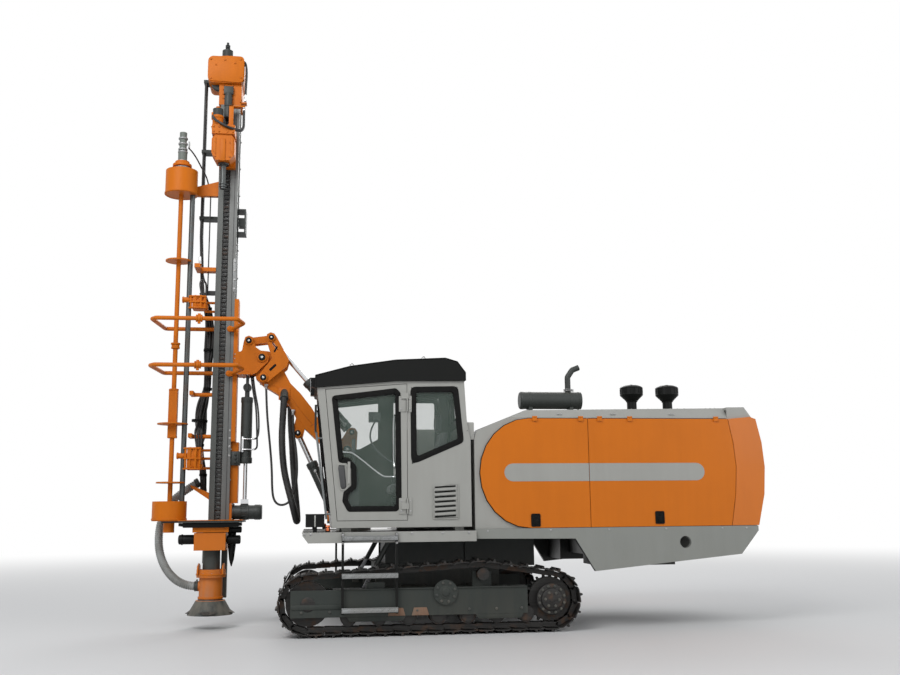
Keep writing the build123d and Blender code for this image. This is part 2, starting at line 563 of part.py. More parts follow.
# Mast beam, chain, rail
X0, X1, Y0, Y1 = BEAM_X0, BEAM_X1, BEAM_Y0, BEAM_Y1
CH0, CH1, CHD = -2515.0, -2445.0, 45.0
BEAM = [(X0, Y0), (CH0, Y0), (CH0, Y0 + CHD), (CH1, Y0 + CHD), (CH1, Y0), (X1, Y0), (X1, Y0 + 45),
        (X1 - 25, Y0 + 45), (X1 - 25, Y1 - 45),
        (X1, Y1 - 45), (X1, Y1), (X0, Y1), (X0, Y1 - 45), (X0 + 25, Y1 - 45), (X0 + 25, Y0 + 45),
        (X0, Y0 + 45)]
hollow = [(X0 + 45, Y0 + 65), (X1 - 45, Y0 + 65), (X1 - 45, Y1 - 25), (X0 + 45, Y1 - 25)]
beam = plan(BEAM, BEAM_Z0, BEAM_Z1) - plan(hollow, BEAM_Z0 - 1, BEAM_Z1 + 1)
save("mast_beam", beam)
rail = (box(X1 - 25, RAIL_X, BOOM_Y - 98, BOOM_Y + 98, 1955, 3550)
        - box(X1 - 200, X1 - 0.0, 0, Y0 + 45, 1900, 3600) - box(X1 - 200, X1, Y1 - 45, 500, 1900, 3600))
LINK = 50.0
n = int((BEAM_Z1 - BEAM_Z0 - 40) / LINK)
z0 = BEAM_Z0 + 20
teeth = [(Y0 + CHD, z0)]
for i in range(n):
    z = z0 + i * LINK
    teeth += [(Y0 + 12, z), (Y0 + 6, z + 30), (Y0 + 28, z + 36), (Y0 + 28, z + 46)]
teeth += [(Y0 + CHD, z0 + n * LINK)]
save("feed_chain", yz_prism(teeth, CH0 + 8, CH1 - 8))

# Mast head
mh = box(-2600, -2344, Y0, Y1, BEAM_Z1, 6104)
mh += Pos(-2525, 250, 6267) * fillet(Box(410, 380, 326).edges().filter_by(Axis.Y), 60)
mh += rod((-2525, 200, 6430), (-2525, 200, 6545), 62) + rod((-2525, 200, 6545), (-2525, 200, 6665), 14)
mh += rod((-2513, 55, 6267), (-2513, 66, 6267), 120)
save("mast_head", mh)
lampb = (box(X1 - 25, -2262, 150, 350, 4330, 4345) + box(X1 - 25, -2262, 150, 350, 4600, 4615)
         + box(-2280, -2262, 150, 350, 4345, 4600))
lampb += box(-2345, -2280, 190, 300, 4420, 4520)
col = box(X1 - 25, -2278, 160, 340, 1290, 1950)
clamps = []
for z, x1 in ((6160, -2730), (5300, X0 + 25), (4500, X0 + 25)):
    c = box(-2790, x1, 215, 345, z, z + 35)
    for y in (240, 280, 320):
        c -= rod((-2765, y, z - 1), (-2765, y, z + 36), 16.3)
    clamps.append(c)
save("mast_fittings", rail, lampb, col, *clamps)

# Mast foot, hood, feed motor
foot = (plan([(-2840, -300), (-2195, -300), (-2195, 420), (-2840, 420)], 1085, BEAM_Z0)
        + box(-3035, -2840, -120, 20, 1085, BEAM_Z0))
foot += (box(-2683, -2360, -220, 120, 800, 980) + box(-2600, -2420, -140, 40, 980, 1085)
         + box(-2440, -2360, 100, 380, 970, 1085))
foot += rod((-2800, -200, 1064), (-2230, -200, 1064), 30) + rod((-2600, 60, 660), (-2600, 60, 800), 20)
foot += box(-2420, -2360, 40, 120, 300, 800)
foot -= rod((*DRILL, 700), (*DRILL, 1200), 75)
save("mast_foot", foot)
dh = rod((*DRILL, 540), (*DRILL, 800), 90) + rod((*DRILL, 520), (*DRILL, 600), 150)
dh += (rod((*DRILL, 285), (*DRILL, 520), 120)
       + Pos(*DRILL, 140) * Cone(235, 150, 146, align=(Align.CENTER, Align.CENTER, Align.MIN)))
dh += rod((-2640, DRILL[1], 430), (-2560, DRILL[1], 430), 52)
dh += box(-2445, -2425, 0, 40, 320, 560)
dh -= rod((*DRILL, 100), (*DRILL, 900), 70)
dh -= box(-2420, -2360, 40, 120, 300, 800)
save("dust_hood", dh)
fm = (box(-2358, -2330, 110, 390, 1106, 1290) + rod((-2330, 200, 1190), (-2310, 200, 1190), 84)
      + rod((-2310, 200, 1190), (-2010, 200, 1190), 76) + box(-2240, -2160, 170, 230, 1250, 1282))
save("feed_motor", fm)

# Guard hoops
hoops = []
for z in (3225, 2725):
    pts = [(-2364, 50, z - 30), (-2235, -200, z - 10), (-2285, -400, z), (-3130, -400, z),
           (-3179.4, -330, z), (-3120, 250, z), (X0 + 2, 250, z)]
    h = pipe(pts, [30, 45, 35, 35, 45], 22.5)
    h += box(-2380, -2350, 28, Y0, z - 55, z - 5)
    h -= box(X0, X1, Y0, Y1, z - 100, z + 100)
    h += rod((-2700, -400, z), (-2670, -400, z), 34)
    hoops.append(h)
save("guard_hoops", *hoops)

# Grippers and carousel
GR_X0, GR_X1 = -2795.0, -2660.0
grip = []
for z0, z1, bars in ((3390, 3540, (3400, 3500)), (1640, 1880, (1655, 1760, 1850))):
    g = box(GR_X0, GR_X1, -95, 40, z0, z1) + box(GR_X0, GR_X1, 40, 200, z0 + 30, z1 - 30)
    for z in bars:
        g += rod((GR_X1 - 30, 170, z + 12), (X0 + 25, 170, z + 12), 14)
    grip.append(g)
save("rod_grippers", *grip)

fr = rod((*POLE, 4690), (*POLE, 4968), 175) - rod((*POLE, 4689), (*POLE, 4945), 162)
fr += Pos(*POLE, 4968) * Cone(175, 75, 30, align=(Align.CENTER, Align.CENTER, Align.MIN))
fr += (rod((*POLE, 4998), (*POLE, 5080), 78) + rod((*POLE, 5080), (*POLE, 5190), 50)
       + rod((*POLE, 5190), (*POLE, 5425), 40))
fr += box(-2965, X0, 124, 190, 4750, 4850) + prism([(-2850, 4850), (X0, 4850), (X0, 4930)], 140, 160)
arm = box(-2790, X0, 90, 200, 3860, 3905) + box(-2790, -2730, -90, 90, 3860, 3905)
arm += rod((-2790, 140, 2470), (X0, 140, 2470), 22) + rod((-2790, 140, 2010), (X0, 140, 2010), 22)
for z in (2470, 2010):
    arm += box(-2800, -2760, -60, 165, z - 22, z + 22)
arm2 = prism([(-2772, 1486), (-2772, 1460), (-2600, 1345), (X0, 1328), (X0, 1400)], 110, 210)
cup = rod((*POLE, BEAM_Z0), (*POLE, 1310), 178) - rod((*POLE, 1125), (*POLE, 1311), 165)
save("carousel_frame", fr, arm, arm2, cup, rod((*POLE, 985), (*POLE, 1085), 58))
ROD_X = POLE[0] + ROD_AT
rot = rod((*POLE, 1125.4), (*POLE, 4944.6), 25)
for z, r, t in ((3925, 140, 14), (2950, 42, 40), (2125, 160, 12), (1500, 150, 14), (1135, 158, 14),
                (4700, 158, 14)):
    rot += rod((*POLE, z), (*POLE, z + t), r)
rot += box(POLE[0] - 45, POLE[0] + 45, POLE[1] - 45, POLE[1] + 45, 1980, 2490)
rot -= rod((ROD_X, POLE[1], 1149), (ROD_X, POLE[1], 4800), ROD_R + 0.3)
save("carousel_rotor", rot)
save("stored_drill_rod", rod((ROD_X, POLE[1], 1149), (ROD_X, POLE[1], 4880), ROD_R))

# Rotary head
HX0, HX1 = -2640.0, -2386.0
rh = box(-2570, -2390, 40, BEAM_Y0 - 0.6, 5060, 5490)
rh += (box(HX0, HX1, -190, 40, 5385, 5490)
       + prism([(-2600, 5385), (-2426, 5385), (HX1, 5330), (HX1, 5150), (-2440, 5080), (-2590, 5080),
                (HX0, 5170), (-2640, 5330)], -170, 40))
rh += rod((-2590, -60, 5490), (-2590, -60, 5720), 58)
rh -= rod((*DRILL, 5000), (*DRILL, 5300), 31 + PIN)
save("rotary_head", rh)
save("drill_spindle", rod((*DRILL, 4780), (*DRILL, 5295), 31) + rod((*DRILL, 5060), (*DRILL, 5079.6), 60))

# Hoses
bundle = []
for y in (240, 280, 320):
    bundle.append(pipe([(-2765, y, 6200), (-2765, y, 4300), (-2735, y, 3650)], [300], 16))
save("mast_hoses", *bundle)
SUCTION = [(-2640.3, -50, 430), (-2790, -50, 430), (-2990, 60, 580), (-3100, 170, 820), (-3095, 240, 1120),
           (-2960, 255, 1370), (-2700, 255, 1520)]
radii = bend_radii(SUCTION)
print("suction hose radii", [round(v) for v in radii])
save("suction_hose", pipe(SUCTION, radii, 45))
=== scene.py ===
"""Looks of the crawler drilling rig: one operator for each group of pieces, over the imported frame."""
import math

import bmesh
import bpy
from bpy.props import FloatProperty, FloatVectorProperty, IntProperty, PointerProperty
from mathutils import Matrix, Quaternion, Vector


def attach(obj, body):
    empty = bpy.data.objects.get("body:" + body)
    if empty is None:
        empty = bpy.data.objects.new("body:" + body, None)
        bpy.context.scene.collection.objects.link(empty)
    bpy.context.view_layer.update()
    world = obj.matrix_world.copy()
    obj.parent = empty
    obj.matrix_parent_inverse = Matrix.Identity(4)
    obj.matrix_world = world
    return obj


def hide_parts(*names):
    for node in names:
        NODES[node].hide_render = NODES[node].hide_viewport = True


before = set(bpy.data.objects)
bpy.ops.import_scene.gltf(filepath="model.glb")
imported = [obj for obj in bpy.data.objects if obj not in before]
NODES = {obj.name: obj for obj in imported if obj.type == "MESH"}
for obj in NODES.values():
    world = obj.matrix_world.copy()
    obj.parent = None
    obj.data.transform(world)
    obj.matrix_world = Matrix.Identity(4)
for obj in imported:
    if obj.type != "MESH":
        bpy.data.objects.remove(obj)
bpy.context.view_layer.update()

bl_info = {"name": "Crawler Drilling Rig", "version": (1, 0, 0), "blender": (4, 5, 0),
        "location": "3D View > Sidebar > Drilling Rig",
        "description": "Dresses the crawler drilling rig's frame with finishes and detail pieces",
        "category": "Object",}

MM = 0.001


def screen(r, g, b):
    """Linear colour of a screen colour given from 0 to 255."""
    return tuple((c / 255 / 12.92) if c < 11 else ((c / 255 + 0.055) / 1.055) ** 2.4 for c in (r, g, b))


# Node trees
class Wire:
    """An output socket that takes part in sums."""

    def __init__(self, tree, node, index=0):
        self.tree, self.node, self.index = tree, node, index

    @property
    def socket(self):
        return self.node.outputs[self.index]

    def out(self, index):
        return Wire(self.tree, self.node, index)

    def maths(self, operation, *values):
        return self.tree.add("ShaderNodeMath", {"operation": operation}, dict(enumerate(values)))

    def __add__(self, other):
        return self.maths("ADD", self, other)

    __radd__ = __add__

    def __sub__(self, other):
        return self.maths("SUBTRACT", self, other)

    def __rsub__(self, other):
        return self.maths("SUBTRACT", other, self)

    def __mul__(self, other):
        return self.maths("MULTIPLY", self, other)

    __rmul__ = __mul__

    def __truediv__(self, other):
        return self.maths("DIVIDE", self, other)

    def __gt__(self, other):
        return self.maths("GREATER_THAN", self, other)

    def __lt__(self, other):
        return self.maths("LESS_THAN", self, other)

    def __abs__(self):
        return self.maths("ABSOLUTE", self)

    def sine(self):
        return self.maths("SINE", self)

    def step(self, low, high):
        """0 below low, 1 above high."""
        return self.tree.add("ShaderNodeMapRange", {"interpolation_type": "SMOOTHSTEP"},
                {0: self, 1: low, 2: high})


class Tree:
    """Adds nodes to a shader or geometry tree; settings are set before sockets."""

    def __init__(self, tree):
        self.tree = tree

    def add(self, kind, settings=None, sockets=None):
        node = self.tree.nodes.new(kind)
        for name, value in (settings or {}).items():
            if name == "stops":
                ramp = node.color_ramp.elements
                while len(ramp) < len(value):
                    ramp.new(0.5)
                for element, (place, colour) in zip(ramp, value):
                    element.position, element.color = place, (*colour, 1)
            else:
                setattr(node, name, value)
        for name, value in (sockets or {}).items():
            socket = node.inputs[name]
            if isinstance(value, Wire):
                self.tree.links.new(value.socket, socket)
            else:
                socket.default_value = (*value, 1) if socket.type == "RGBA" and len(value) == 3 else value
        return Wire(self, node)

    def blend(self, factor, low, high):
        """Colour between low and high."""
        return self.add("ShaderNodeMix", {"data_type": "RGBA"}, {0: factor, 6: low, 7: high}).out(2)

    def noise(self, where, scale, detail=2.0, roughness=0.5):
        return self.add("ShaderNodeTexNoise", {},
                {"Vector": where, "Scale": scale, "Detail": detail, "Roughness": roughness})


class Finish:
    """One material: its tree, object coordinates and the usual masks."""

    def __init__(self, name):
        self.material = bpy.data.materials.new(name)
        self.material.use_nodes = True
        nodes = self.material.node_tree.nodes
        nodes.clear()
        self.t = Tree(self.material.node_tree)
        self.where = self.t.add("ShaderNodeTexCoord").out(3)
        place = self.t.add("ShaderNodeSeparateXYZ", {}, {0: self.where})
        self.x, self.y, self.z = place, place.out(1), place.out(2)

    def stretched(self, x, y, z):
        """Object coordinates scaled by x, y and z."""
        return self.t.add("ShaderNodeMapping", {}, {"Vector": self.where, "Scale": (x, y, z)})

    def rounded(self, radius):
        """Normal with its edges rounded, and the mask of those edges."""
        soft = self.t.add("ShaderNodeBevel", {"samples": 4}, {"Radius": radius})
        flat = self.t.add("ShaderNodeNewGeometry").out(1)
        same = self.t.add("ShaderNodeVectorMath", {"operation": "DOT_PRODUCT"}, {0: soft, 1: flat}).out(1)
        return soft, (1 - same).step(0.01, 0.22)

    def upward(self):
        """1 on faces that look up."""
        facing = self.t.add("ShaderNodeSeparateXYZ", {},
                {0: self.t.add("ShaderNodeNewGeometry").out(1)}).out(2)
        return facing.step(0.55, 0.95)

    def surface(self, sockets, extra=None):
        shader = self.t.add("ShaderNodeBsdfPrincipled", {}, sockets)
        if extra is not None:
            shader = self.t.add("ShaderNodeMixShader", {}, {0: extra[0], 1: shader, 2: extra[1]})
        self.t.add("ShaderNodeOutputMaterial", {}, {0: shader})
        return self.material


FINISHES = {}


def finish(name):
    return FINISHES[name]


# Widths of the worn edges and depths of the fine relief, in metres
PAINT_EDGE, STEEL_EDGE, PEEL_DEPTH, RUB_DEPTH = 0.003, 0.002, 0.0004, 0.0006
RUST = (0.12, 0.06, 0.03)


def painted(name, colour, rough=0.42, metal=0.0, coat=0.0, dust=0.35, wear=0.55, bare=(0.16, 0.155, 0.15),
        low=0.9, zones=(), tone=0.08, shine=0.4):
    """Sprayed paint: mottled tone, fine orange peel, dust low down and on top faces, and chipped edges.

    Each zone is (mask maker, colour).
    """
    f = Finish(name)
    broad = f.t.noise(f.where, 1.7, 3.0)
    fine = f.t.noise(f.where, 42.0, 4.0, 0.65)
    streak = f.t.noise(f.stretched(9.0, 9.0, 0.9), 1.0, 4.0, 0.6)
    soft, edge = f.rounded(PAINT_EDGE)
    base = colour
    for mask, other in zones:
        base = f.t.blend(mask(f), base, other)
    dark = f.t.add("ShaderNodeMix", {"data_type": "RGBA", "blend_type": "MULTIPLY"},
            {0: (broad * 0.5 + streak * 0.5).step(0.3, 0.72) * tone * 2.2, 6: base,
            7: (0.55, 0.53, 0.5)}).out(2)
    grime = ((low - f.z).step(0.0, low) * streak.step(0.3, 0.7) * 0.85 + f.upward() * fine.step(0.35,
            0.7) * 0.5) * dust
    dusty = f.t.blend(grime, dark, screen(146, 138, 124))
    chips = edge * (fine * 0.6 + broad * 0.4).step(0.5, 0.58) * wear
    final = f.t.blend(chips, dusty, bare)
    bump = f.t.add("ShaderNodeBump", {}, {"Strength": 0.35, "Distance": PEEL_DEPTH, "Height": fine,
            "Normal": soft})
    return f.surface({"Base Color": final,
            "Roughness": rough + grime * 0.35 + chips * 0.1 + (fine - 0.5) * 0.1,
            "Metallic": metal, "Coat Weight": coat,
            "Coat Roughness": 0.12, "Specular IOR Level": shine, "Normal": bump})


def steel(name, colour, rough=0.35, rust=0.25, scratch=0.5, lines=(1, 1, 40)):
    """Worked steel with rubbed lines, stain in patches and rounded edges."""
    f = Finish(name)
    patch = f.t.noise(f.where, 6.0, 5.0, 0.6)
    rub = f.t.noise(f.stretched(*[v * 6.0 for v in lines]), 1.0, 3.0, 0.7)
    soft, edge = f.rounded(STEEL_EDGE)
    stained = patch.step(0.52, 0.68) * rust
    base = f.t.blend(rub.step(0.3, 0.75) * scratch, colour, tuple(min(1.0, c * 1.7 + 0.03) for c in colour))
    base = f.t.blend(edge * 0.5, base, tuple(min(1.0, c * 2.2 + 0.06) for c in colour))
    final = f.t.blend(stained, base, RUST)
    bump = f.t.add("ShaderNodeBump", {}, {"Strength": 0.3, "Distance": RUB_DEPTH, "Height": rub * 0.6 + patch,
            "Normal": soft})
    return f.surface({"Base Color": final, "Roughness": rough + stained * 0.4 + rub * 0.15,
            "Metallic": 1 - stained * 0.8, "Normal": bump})


def plain_masks():
    """Masks that several finishes share, by place on the rig."""
    def above(height):
        return lambda f: f.z > height

    def below(height):
        return lambda f: f.z < height
    return above, below


def cab_lining(f):
    """1 on the inner faces of the cab, behind its sloped front, where a dark olive colour is painted as the
    shade inside the cab.
    """
    front = f.x + (f.z - 1.024) * 0.1156 > -1.262
    return front * (f.x < 0.03) * (f.y > -1.118) * (f.y < -0.182) * (f.z > 1.03) * (f.z < 2.44)


def under_frame_shade(f):
    """1 on the tanks and the inner faces under the rear frame, painted black as the shade under the frame."""
    return (abs(f.y) < 1.136) * (f.z < 0.967) * (f.x < 2.3)


def bell_underside_shade(f):
    """1 on the open underside of the carousel's bell, painted dark brown as the shade inside the bell."""
    x, y = f.x + 2.965, f.y + 0.05
    return (x * x + y * y < 0.16 * 0.16) * (f.z > 4.6) * (f.z < 4.692)


def beam_groove_shade(f):
    """1 in the grooves of the mast beam's left face, painted near black as the shade in the grooves."""
    mask = abs(f.x + 2.542) < 0.0035
    for x in (-2.421, -2.392):
        mask = mask.maths("MAXIMUM", abs(f.x - x) < 0.0035)
    return mask * (f.y < 0.101)


def make_finishes(paint):
    """All materials, from the colours of the panel."""
    above, below = plain_masks()
    orange, light, grey = tuple(paint.orange), tuple(paint.light_grey), tuple(paint.grey)
    black, dark = (0.006, 0.0065, 0.006), tuple(paint.dark_metal)
    made = FINISHES
    made["orange_paint"] = painted("orange_paint", orange, rough=0.4, coat=0.06, dust=0.12, wear=0.35,
            shine=0.25)
    made["mast_orange"] = painted("mast_orange", orange, rough=0.5, dust=0.22, wear=0.9, tone=0.18,
            shine=0.22)
    made["light_grey_paint"] = painted("light_grey_paint", light, rough=0.4, coat=0.15, dust=0.12, wear=0.3)
    made["grey_paint"] = painted("grey_paint", grey, rough=0.44, coat=0.1, dust=0.25, wear=0.4)
    made["black_paint"] = painted("black_paint", black, rough=0.45, dust=0.05, wear=0.25,
            bare=(0.06, 0.06, 0.06), shine=0.16)
    made["dark_metal"] = painted("dark_metal", dark, rough=0.5, dust=0.4, wear=0.6, tone=0.2)
    made["crawler_grey"] = painted("crawler_grey", screen(48, 53, 50), rough=0.5, shine=0.3, dust=0.1,
            wear=0.45, tone=0.2, low=0.7)
    made["track_steel"] = steel("track_steel", (0.035, 0.034, 0.033), rough=0.5, rust=0.5)
    made["mast_metal"] = painted("mast_metal", screen(150, 152, 152), rough=0.42, metal=0.25, dust=0.25,
            wear=0.7, tone=0.25, bare=(0.3, 0.3, 0.3))
    # near-black lines on the beam's left face are painted shade of its grooves
    made["mast_beam"] = painted("mast_beam", screen(150, 152, 150), rough=0.42, metal=0.2, dust=0.2,
            wear=0.7, tone=0.25, bare=(0.3, 0.3, 0.3),
            zones=[(lambda f: f.x < -2.516, screen(112, 116, 113)), (beam_groove_shade, (0.02, 0.02, 0.02))])
    made["cylinder_rod"] = steel("cylinder_rod", (0.62, 0.63, 0.64), rough=0.1, rust=0.0, scratch=0.15,
            lines=(30, 30, 1))
    made["pin_steel"] = steel("pin_steel", (0.3, 0.3, 0.3), rough=0.3, rust=0.35)
    made["drill_steel"] = steel("drill_steel", (0.07, 0.075, 0.075), rough=0.38, rust=0.3,
            lines=(20, 20, 1))
    made["chain_steel"] = steel("chain_steel", (0.03, 0.03, 0.03), rough=0.42, rust=0.25)
    made["guard_rust"] = painted("guard_rust", screen(120, 84, 62), rough=0.7, dust=0.5, wear=0.8, tone=0.4)
    made["skirt_rubber"] = painted("skirt_rubber", (0.02, 0.02, 0.02), rough=0.6, dust=0.5, wear=0.4,
            tone=0.2)
    # the cab's inner faces get a dark olive painted shade
    made["cab_shell"] = painted("cab_shell", light, rough=0.4, coat=0.15, dust=0.12, wear=0.3,
            zones=[(cab_lining, screen(52, 50, 42))])
    # the tanks and faces under the rear frame are painted black as shade
    made["rear_frame"] = painted("rear_frame", grey, rough=0.44, coat=0.1, dust=0.25, wear=0.4,
            zones=[(under_frame_shade, black)])
    # dark olive finish painted as the shade inside the cab
    made["cab_lining"] = painted("cab_lining", screen(50, 48, 38), rough=0.6, dust=0.1, wear=0.2, shine=0.2)
    made["salmon"] = painted("salmon", screen(196, 120, 96), rough=0.5, dust=0.1)
    made["rear_cover"] = painted("rear_cover", light, rough=0.38, coat=0.2, dust=0.14, wear=0.35,
            zones=[(lambda f: abs(f.y) > 1.1202, orange)])
    made["mast_head"] = painted("mast_head", orange, rough=0.5, shine=0.22, dust=0.15, wear=0.9,
            zones=[(above(6.431), dark)])
    made["rotary_head"] = painted("rotary_head", orange, rough=0.5, shine=0.22, dust=0.15, wear=0.9,
            zones=[(above(5.491), dark)])
    # the bell's open underside is painted dark brown as shade
    made["carousel_frame"] = painted("carousel_frame", orange, rough=0.5, shine=0.22, dust=0.15, wear=0.9,
            zones=[(above(5.081), screen(112, 118, 112)), (bell_underside_shade, screen(58, 44, 34))])
    made["mast_fittings"] = painted("mast_fittings", orange, rough=0.5, shine=0.22, dust=0.15, wear=0.8,
            zones=[(above(4.0), dark)])
    made["mast_foot"] = painted("mast_foot", dark, rough=0.5, dust=0.5, wear=0.7,
            zones=[(lambda f: (f.z > 0.79) * (f.z < 0.981) * (f.x < -2.358), orange)])
    made["dust_hood"] = painted("dust_hood", dark, rough=0.55, dust=0.6, wear=0.7,
            zones=[(lambda f: (f.z > 0.283) * (f.z < 0.601), orange)])
    made["feed_motor"] = painted("feed_motor", dark, rough=0.45, dust=0.3, wear=0.5,
            zones=[(lambda f: f.x < -2.329, orange)])
    made["cab_mirror"] = painted("cab_mirror", screen(120, 124, 124), rough=0.4,
            zones=[(above(1.9595), black)])
    made["oscillation_cylinders"] = painted("oscillation_cylinders", dark, rough=0.4,
            zones=[(lambda f: (f.z > 0.432) * (f.z < 0.645), (0.5, 0.5, 0.52))])
    made["swing_bracket"] = painted("swing_bracket", orange, rough=0.45, dust=0.3, wear=0.8,
            zones=[(below(1.0855), dark)])

    f = Finish("hose_rubber")
    weave = f.t.noise(f.where, 140.0, 2.0)
    made["hose_rubber"] = f.surface({"Base Color": f.t.blend(f.t.noise(f.where, 7.0, 4.0).step(0.4,
            0.75) * 0.5, (0.012, 0.012, 0.012), (0.05, 0.048, 0.045)), "Roughness": 0.5 + weave * 0.15,
            "Normal": f.t.add("ShaderNodeBump", {}, {"Strength": 0.3, "Distance": 0.0005,
            "Height": weave})})
    f = Finish("dust_hose")
    grain = f.t.noise(f.where, 60.0, 3.0)
    made["dust_hose"] = f.surface({"Base Color": f.t.blend(f.t.noise(f.where, 5.0, 4.0).step(0.35, 0.7),
            screen(150, 152, 150), screen(112, 112, 108)), "Roughness": 0.45 + grain * 0.2,
            "Normal": f.t.add("ShaderNodeBump", {}, {"Strength": 0.25, "Distance": 0.0008,
            "Height": grain})})
    f = Finish("window_glass")
    film = f.t.noise(f.where, 3.0, 4.0, 0.6)
    made["window_glass"] = f.surface({"Base Color": f.t.blend(film.step(0.4, 0.8) * 0.2,
            tuple(paint.glass), (0.5, 0.51, 0.48)), "Roughness": 0.03 + film * 0.05,
            "Alpha": 0.13 + film * 0.06, "IOR": 1.5})
    f = Finish("lamp_lens")
    flute = (f.y * 900.0).sine()
    made["lamp_lens"] = f.surface({"Base Color": f.t.blend(f.t.noise(f.where, 20.0).step(0.3, 0.7) * 0.3,
            (0.72, 0.74, 0.74), (0.5, 0.52, 0.52)), "Roughness": 0.08,
            "Normal": f.t.add("ShaderNodeBump", {}, {"Strength": 0.4, "Distance": 0.001,
            "Height": flute}), "Coat Weight": 0.6})
    f = Finish("marker_lens")
    made["marker_lens"] = f.surface({"Base Color": f.t.blend(f.t.noise(f.where, 30.0).step(0.3, 0.7) * 0.3,
            screen(235, 110, 20), screen(190, 70, 10)), "Roughness": 0.12, "Coat Weight": 0.6})
    f = Finish("seat_fabric")
    knit = f.t.add("ShaderNodeTexVoronoi", {}, {"Vector": f.where, "Scale": 420.0})
    made["seat_fabric"] = f.surface({"Base Color": f.t.blend(knit.step(0.0, 0.6), (0.03, 0.03, 0.032),
            (0.075, 0.075, 0.08)), "Roughness": 0.9,
            "Sheen Weight": 0.2, "Normal": f.t.add("ShaderNodeBump", {},
            {"Strength": 0.6, "Distance": 0.001, "Height": knit})})
    f = Finish("cab_plastic")
    grain = f.t.add("ShaderNodeTexVoronoi", {}, {"Vector": f.where, "Scale": 260.0})
    made["cab_plastic"] = f.surface({"Base Color": f.t.blend(f.t.noise(f.where, 8.0).step(0.35, 0.7) * 0.4,
            (0.045, 0.046, 0.048), (0.075, 0.075, 0.075)), "Roughness": 0.55 + grain * 0.1,
            "Normal": f.t.add("ShaderNodeBump", {}, {"Strength": 0.35, "Distance": 0.0006,
            "Height": grain})})
    f = Finish("rubber_seal")
    grain = f.t.noise(f.where, 90.0, 3.0)
    made["rubber_seal"] = f.surface({"Base Color": f.t.blend(grain.step(0.4, 0.7), (0.004, 0.004, 0.004),
            (0.012, 0.012, 0.011)), "Roughness": 0.6 + grain * 0.15, "Specular IOR Level": 0.12})
    f = Finish("display")
    made["display"] = f.surface({"Base Color": f.t.blend(f.t.noise(f.where, 12.0).step(0.3, 0.8),
            (0.01, 0.012, 0.015), (0.03, 0.035, 0.04)), "Roughness": 0.08, "Coat Weight": 0.5})


# Mesh code
class Part:
    """Faces of one piece, given in millimetres."""

    def __init__(self):
        self.bm = bmesh.new()

    def loft(self, rings, closed=False):
        made = [[self.bm.verts.new(Vector(p) * MM) for p in ring] for ring in rings]
        pairs = list(zip(made, made[1:])) + ([(made[-1], made[0])] if closed else [])
        for a, b in pairs:
            for i in range(len(a)):
                j = (i + 1) % len(a)
                self.bm.faces.new((a[i], a[j], b[j], b[i]))
        if not closed:
            self.bm.faces.new(made[0][::-1])
            self.bm.faces.new(made[-1])
        return self

    def block(self, x0, x1, y0, y1, z0, z1):
        return self.loft([[(x0, y0, z), (x1, y0, z), (x1, y1, z), (x0, y1, z)] for z in (z0, z1)])

    def plate(self, points, y0, y1):
        """Polygon of (x, z) points between y0 and y1."""
        return self.loft([[(x, y, z) for x, z in points] for y in (y0, y1)])

    def level(self, points, z0, z1):
        """Polygon of (x, y) points between z0 and z1."""
        return self.loft([[(x, y, z) for x, y in points] for z in (z0, z1)])

    def turned(self, a, direction, profile, sides=24):
        """Profile of (distance along the axis, radius) pairs, turned about the axis through a."""
        axis = Vector(direction).normalized()
        side = axis.orthogonal().normalized()
        up = axis.cross(side)
        rings = []
        for d, r in profile:
            rings.append([Vector(a) + axis * d + (side * math.cos(t) + up * math.sin(t)) * max(r, 0.05)
                    for t in (math.tau * i / sides for i in range(sides))])
        return self.loft(rings)

    def bar(self, a, b, r, sides=16):
        a, b = Vector(a), Vector(b)
        return self.turned(a, b - a, [(0, r), ((b - a).length, r)], sides)

    def ring(self, a, direction, radius, thick, sides=28, around=8):
        """Torus about the axis through a."""
        axis = Vector(direction).normalized()
        side = axis.orthogonal().normalized()
        up = axis.cross(side)
        rings = []
        for i in range(sides):
            t = math.tau * i / sides
            out = side * math.cos(t) + up * math.sin(t)
            ring = []
            for k in range(around):
                u = math.tau * k / around
                ring.append(Vector(a) + out * (radius + thick * math.cos(u)) + axis * thick * math.sin(u))
            rings.append(ring)
        return self.loft(rings, closed=True)

    def tube(self, points, r, sides=10, steps=6, straight=False):
        """Round tube along a smooth or straight line of points."""
        path = [Vector(p) for p in points] if straight else smooth_line(points, steps)
        rings, side = [], None
        for i, p in enumerate(path):
            way = (path[min(i + 1, len(path) - 1)] - path[max(i - 1, 0)]).normalized()
            side = way.orthogonal() if side is None else side - way * side.dot(way)
            side.normalize()
            up = way.cross(side)
            turns = [math.tau * k / sides for k in range(sides)]
            rings.append([p + (side * math.cos(t) + up * math.sin(t)) * r for t in turns])
        return self.loft(rings)

    def mesh(self, name):
        bmesh.ops.recalc_face_normals(self.bm, faces=self.bm.faces)
        data = bpy.data.meshes.new(name)
        self.bm.to_mesh(data)
        self.bm.free()
        return data


def smooth_line(points, steps):
    """Points of a quadratic spline with these control points."""
    p = [Vector(v) for v in points]
    if len(p) < 3:
        return p
    out = [p[0]]
    mids = [p[0]] + [(a + b) / 2 for a, b in zip(p[1:-2], p[2:-1])] + [p[-1]]
    for i in range(1, len(p) - 1):
        a, b, c = mids[i - 1], p[i], mids[i]
        for k in range(1, steps + 1):
            t = k / steps
            out.append(a * (1 - t) ** 2 + b * 2 * t * (1 - t) + c * t * t)
    return out


def shaded(data, angle=35):
    data.shade_smooth()
    data.set_sharp_from_angle(angle=math.radians(angle))


def baked(source, name):
    """The evaluated object as a plain object at the origin; the source is removed."""
    bpy.context.view_layer.update()
    graph = bpy.context.evaluated_depsgraph_get()
    data = bpy.data.meshes.new_from_object(source.evaluated_get(graph))
    data.name = name
    bpy.data.objects.remove(source)
    plain = bpy.data.objects.new(name, data)
    bpy.context.scene.collection.objects.link(plain)
    return plain


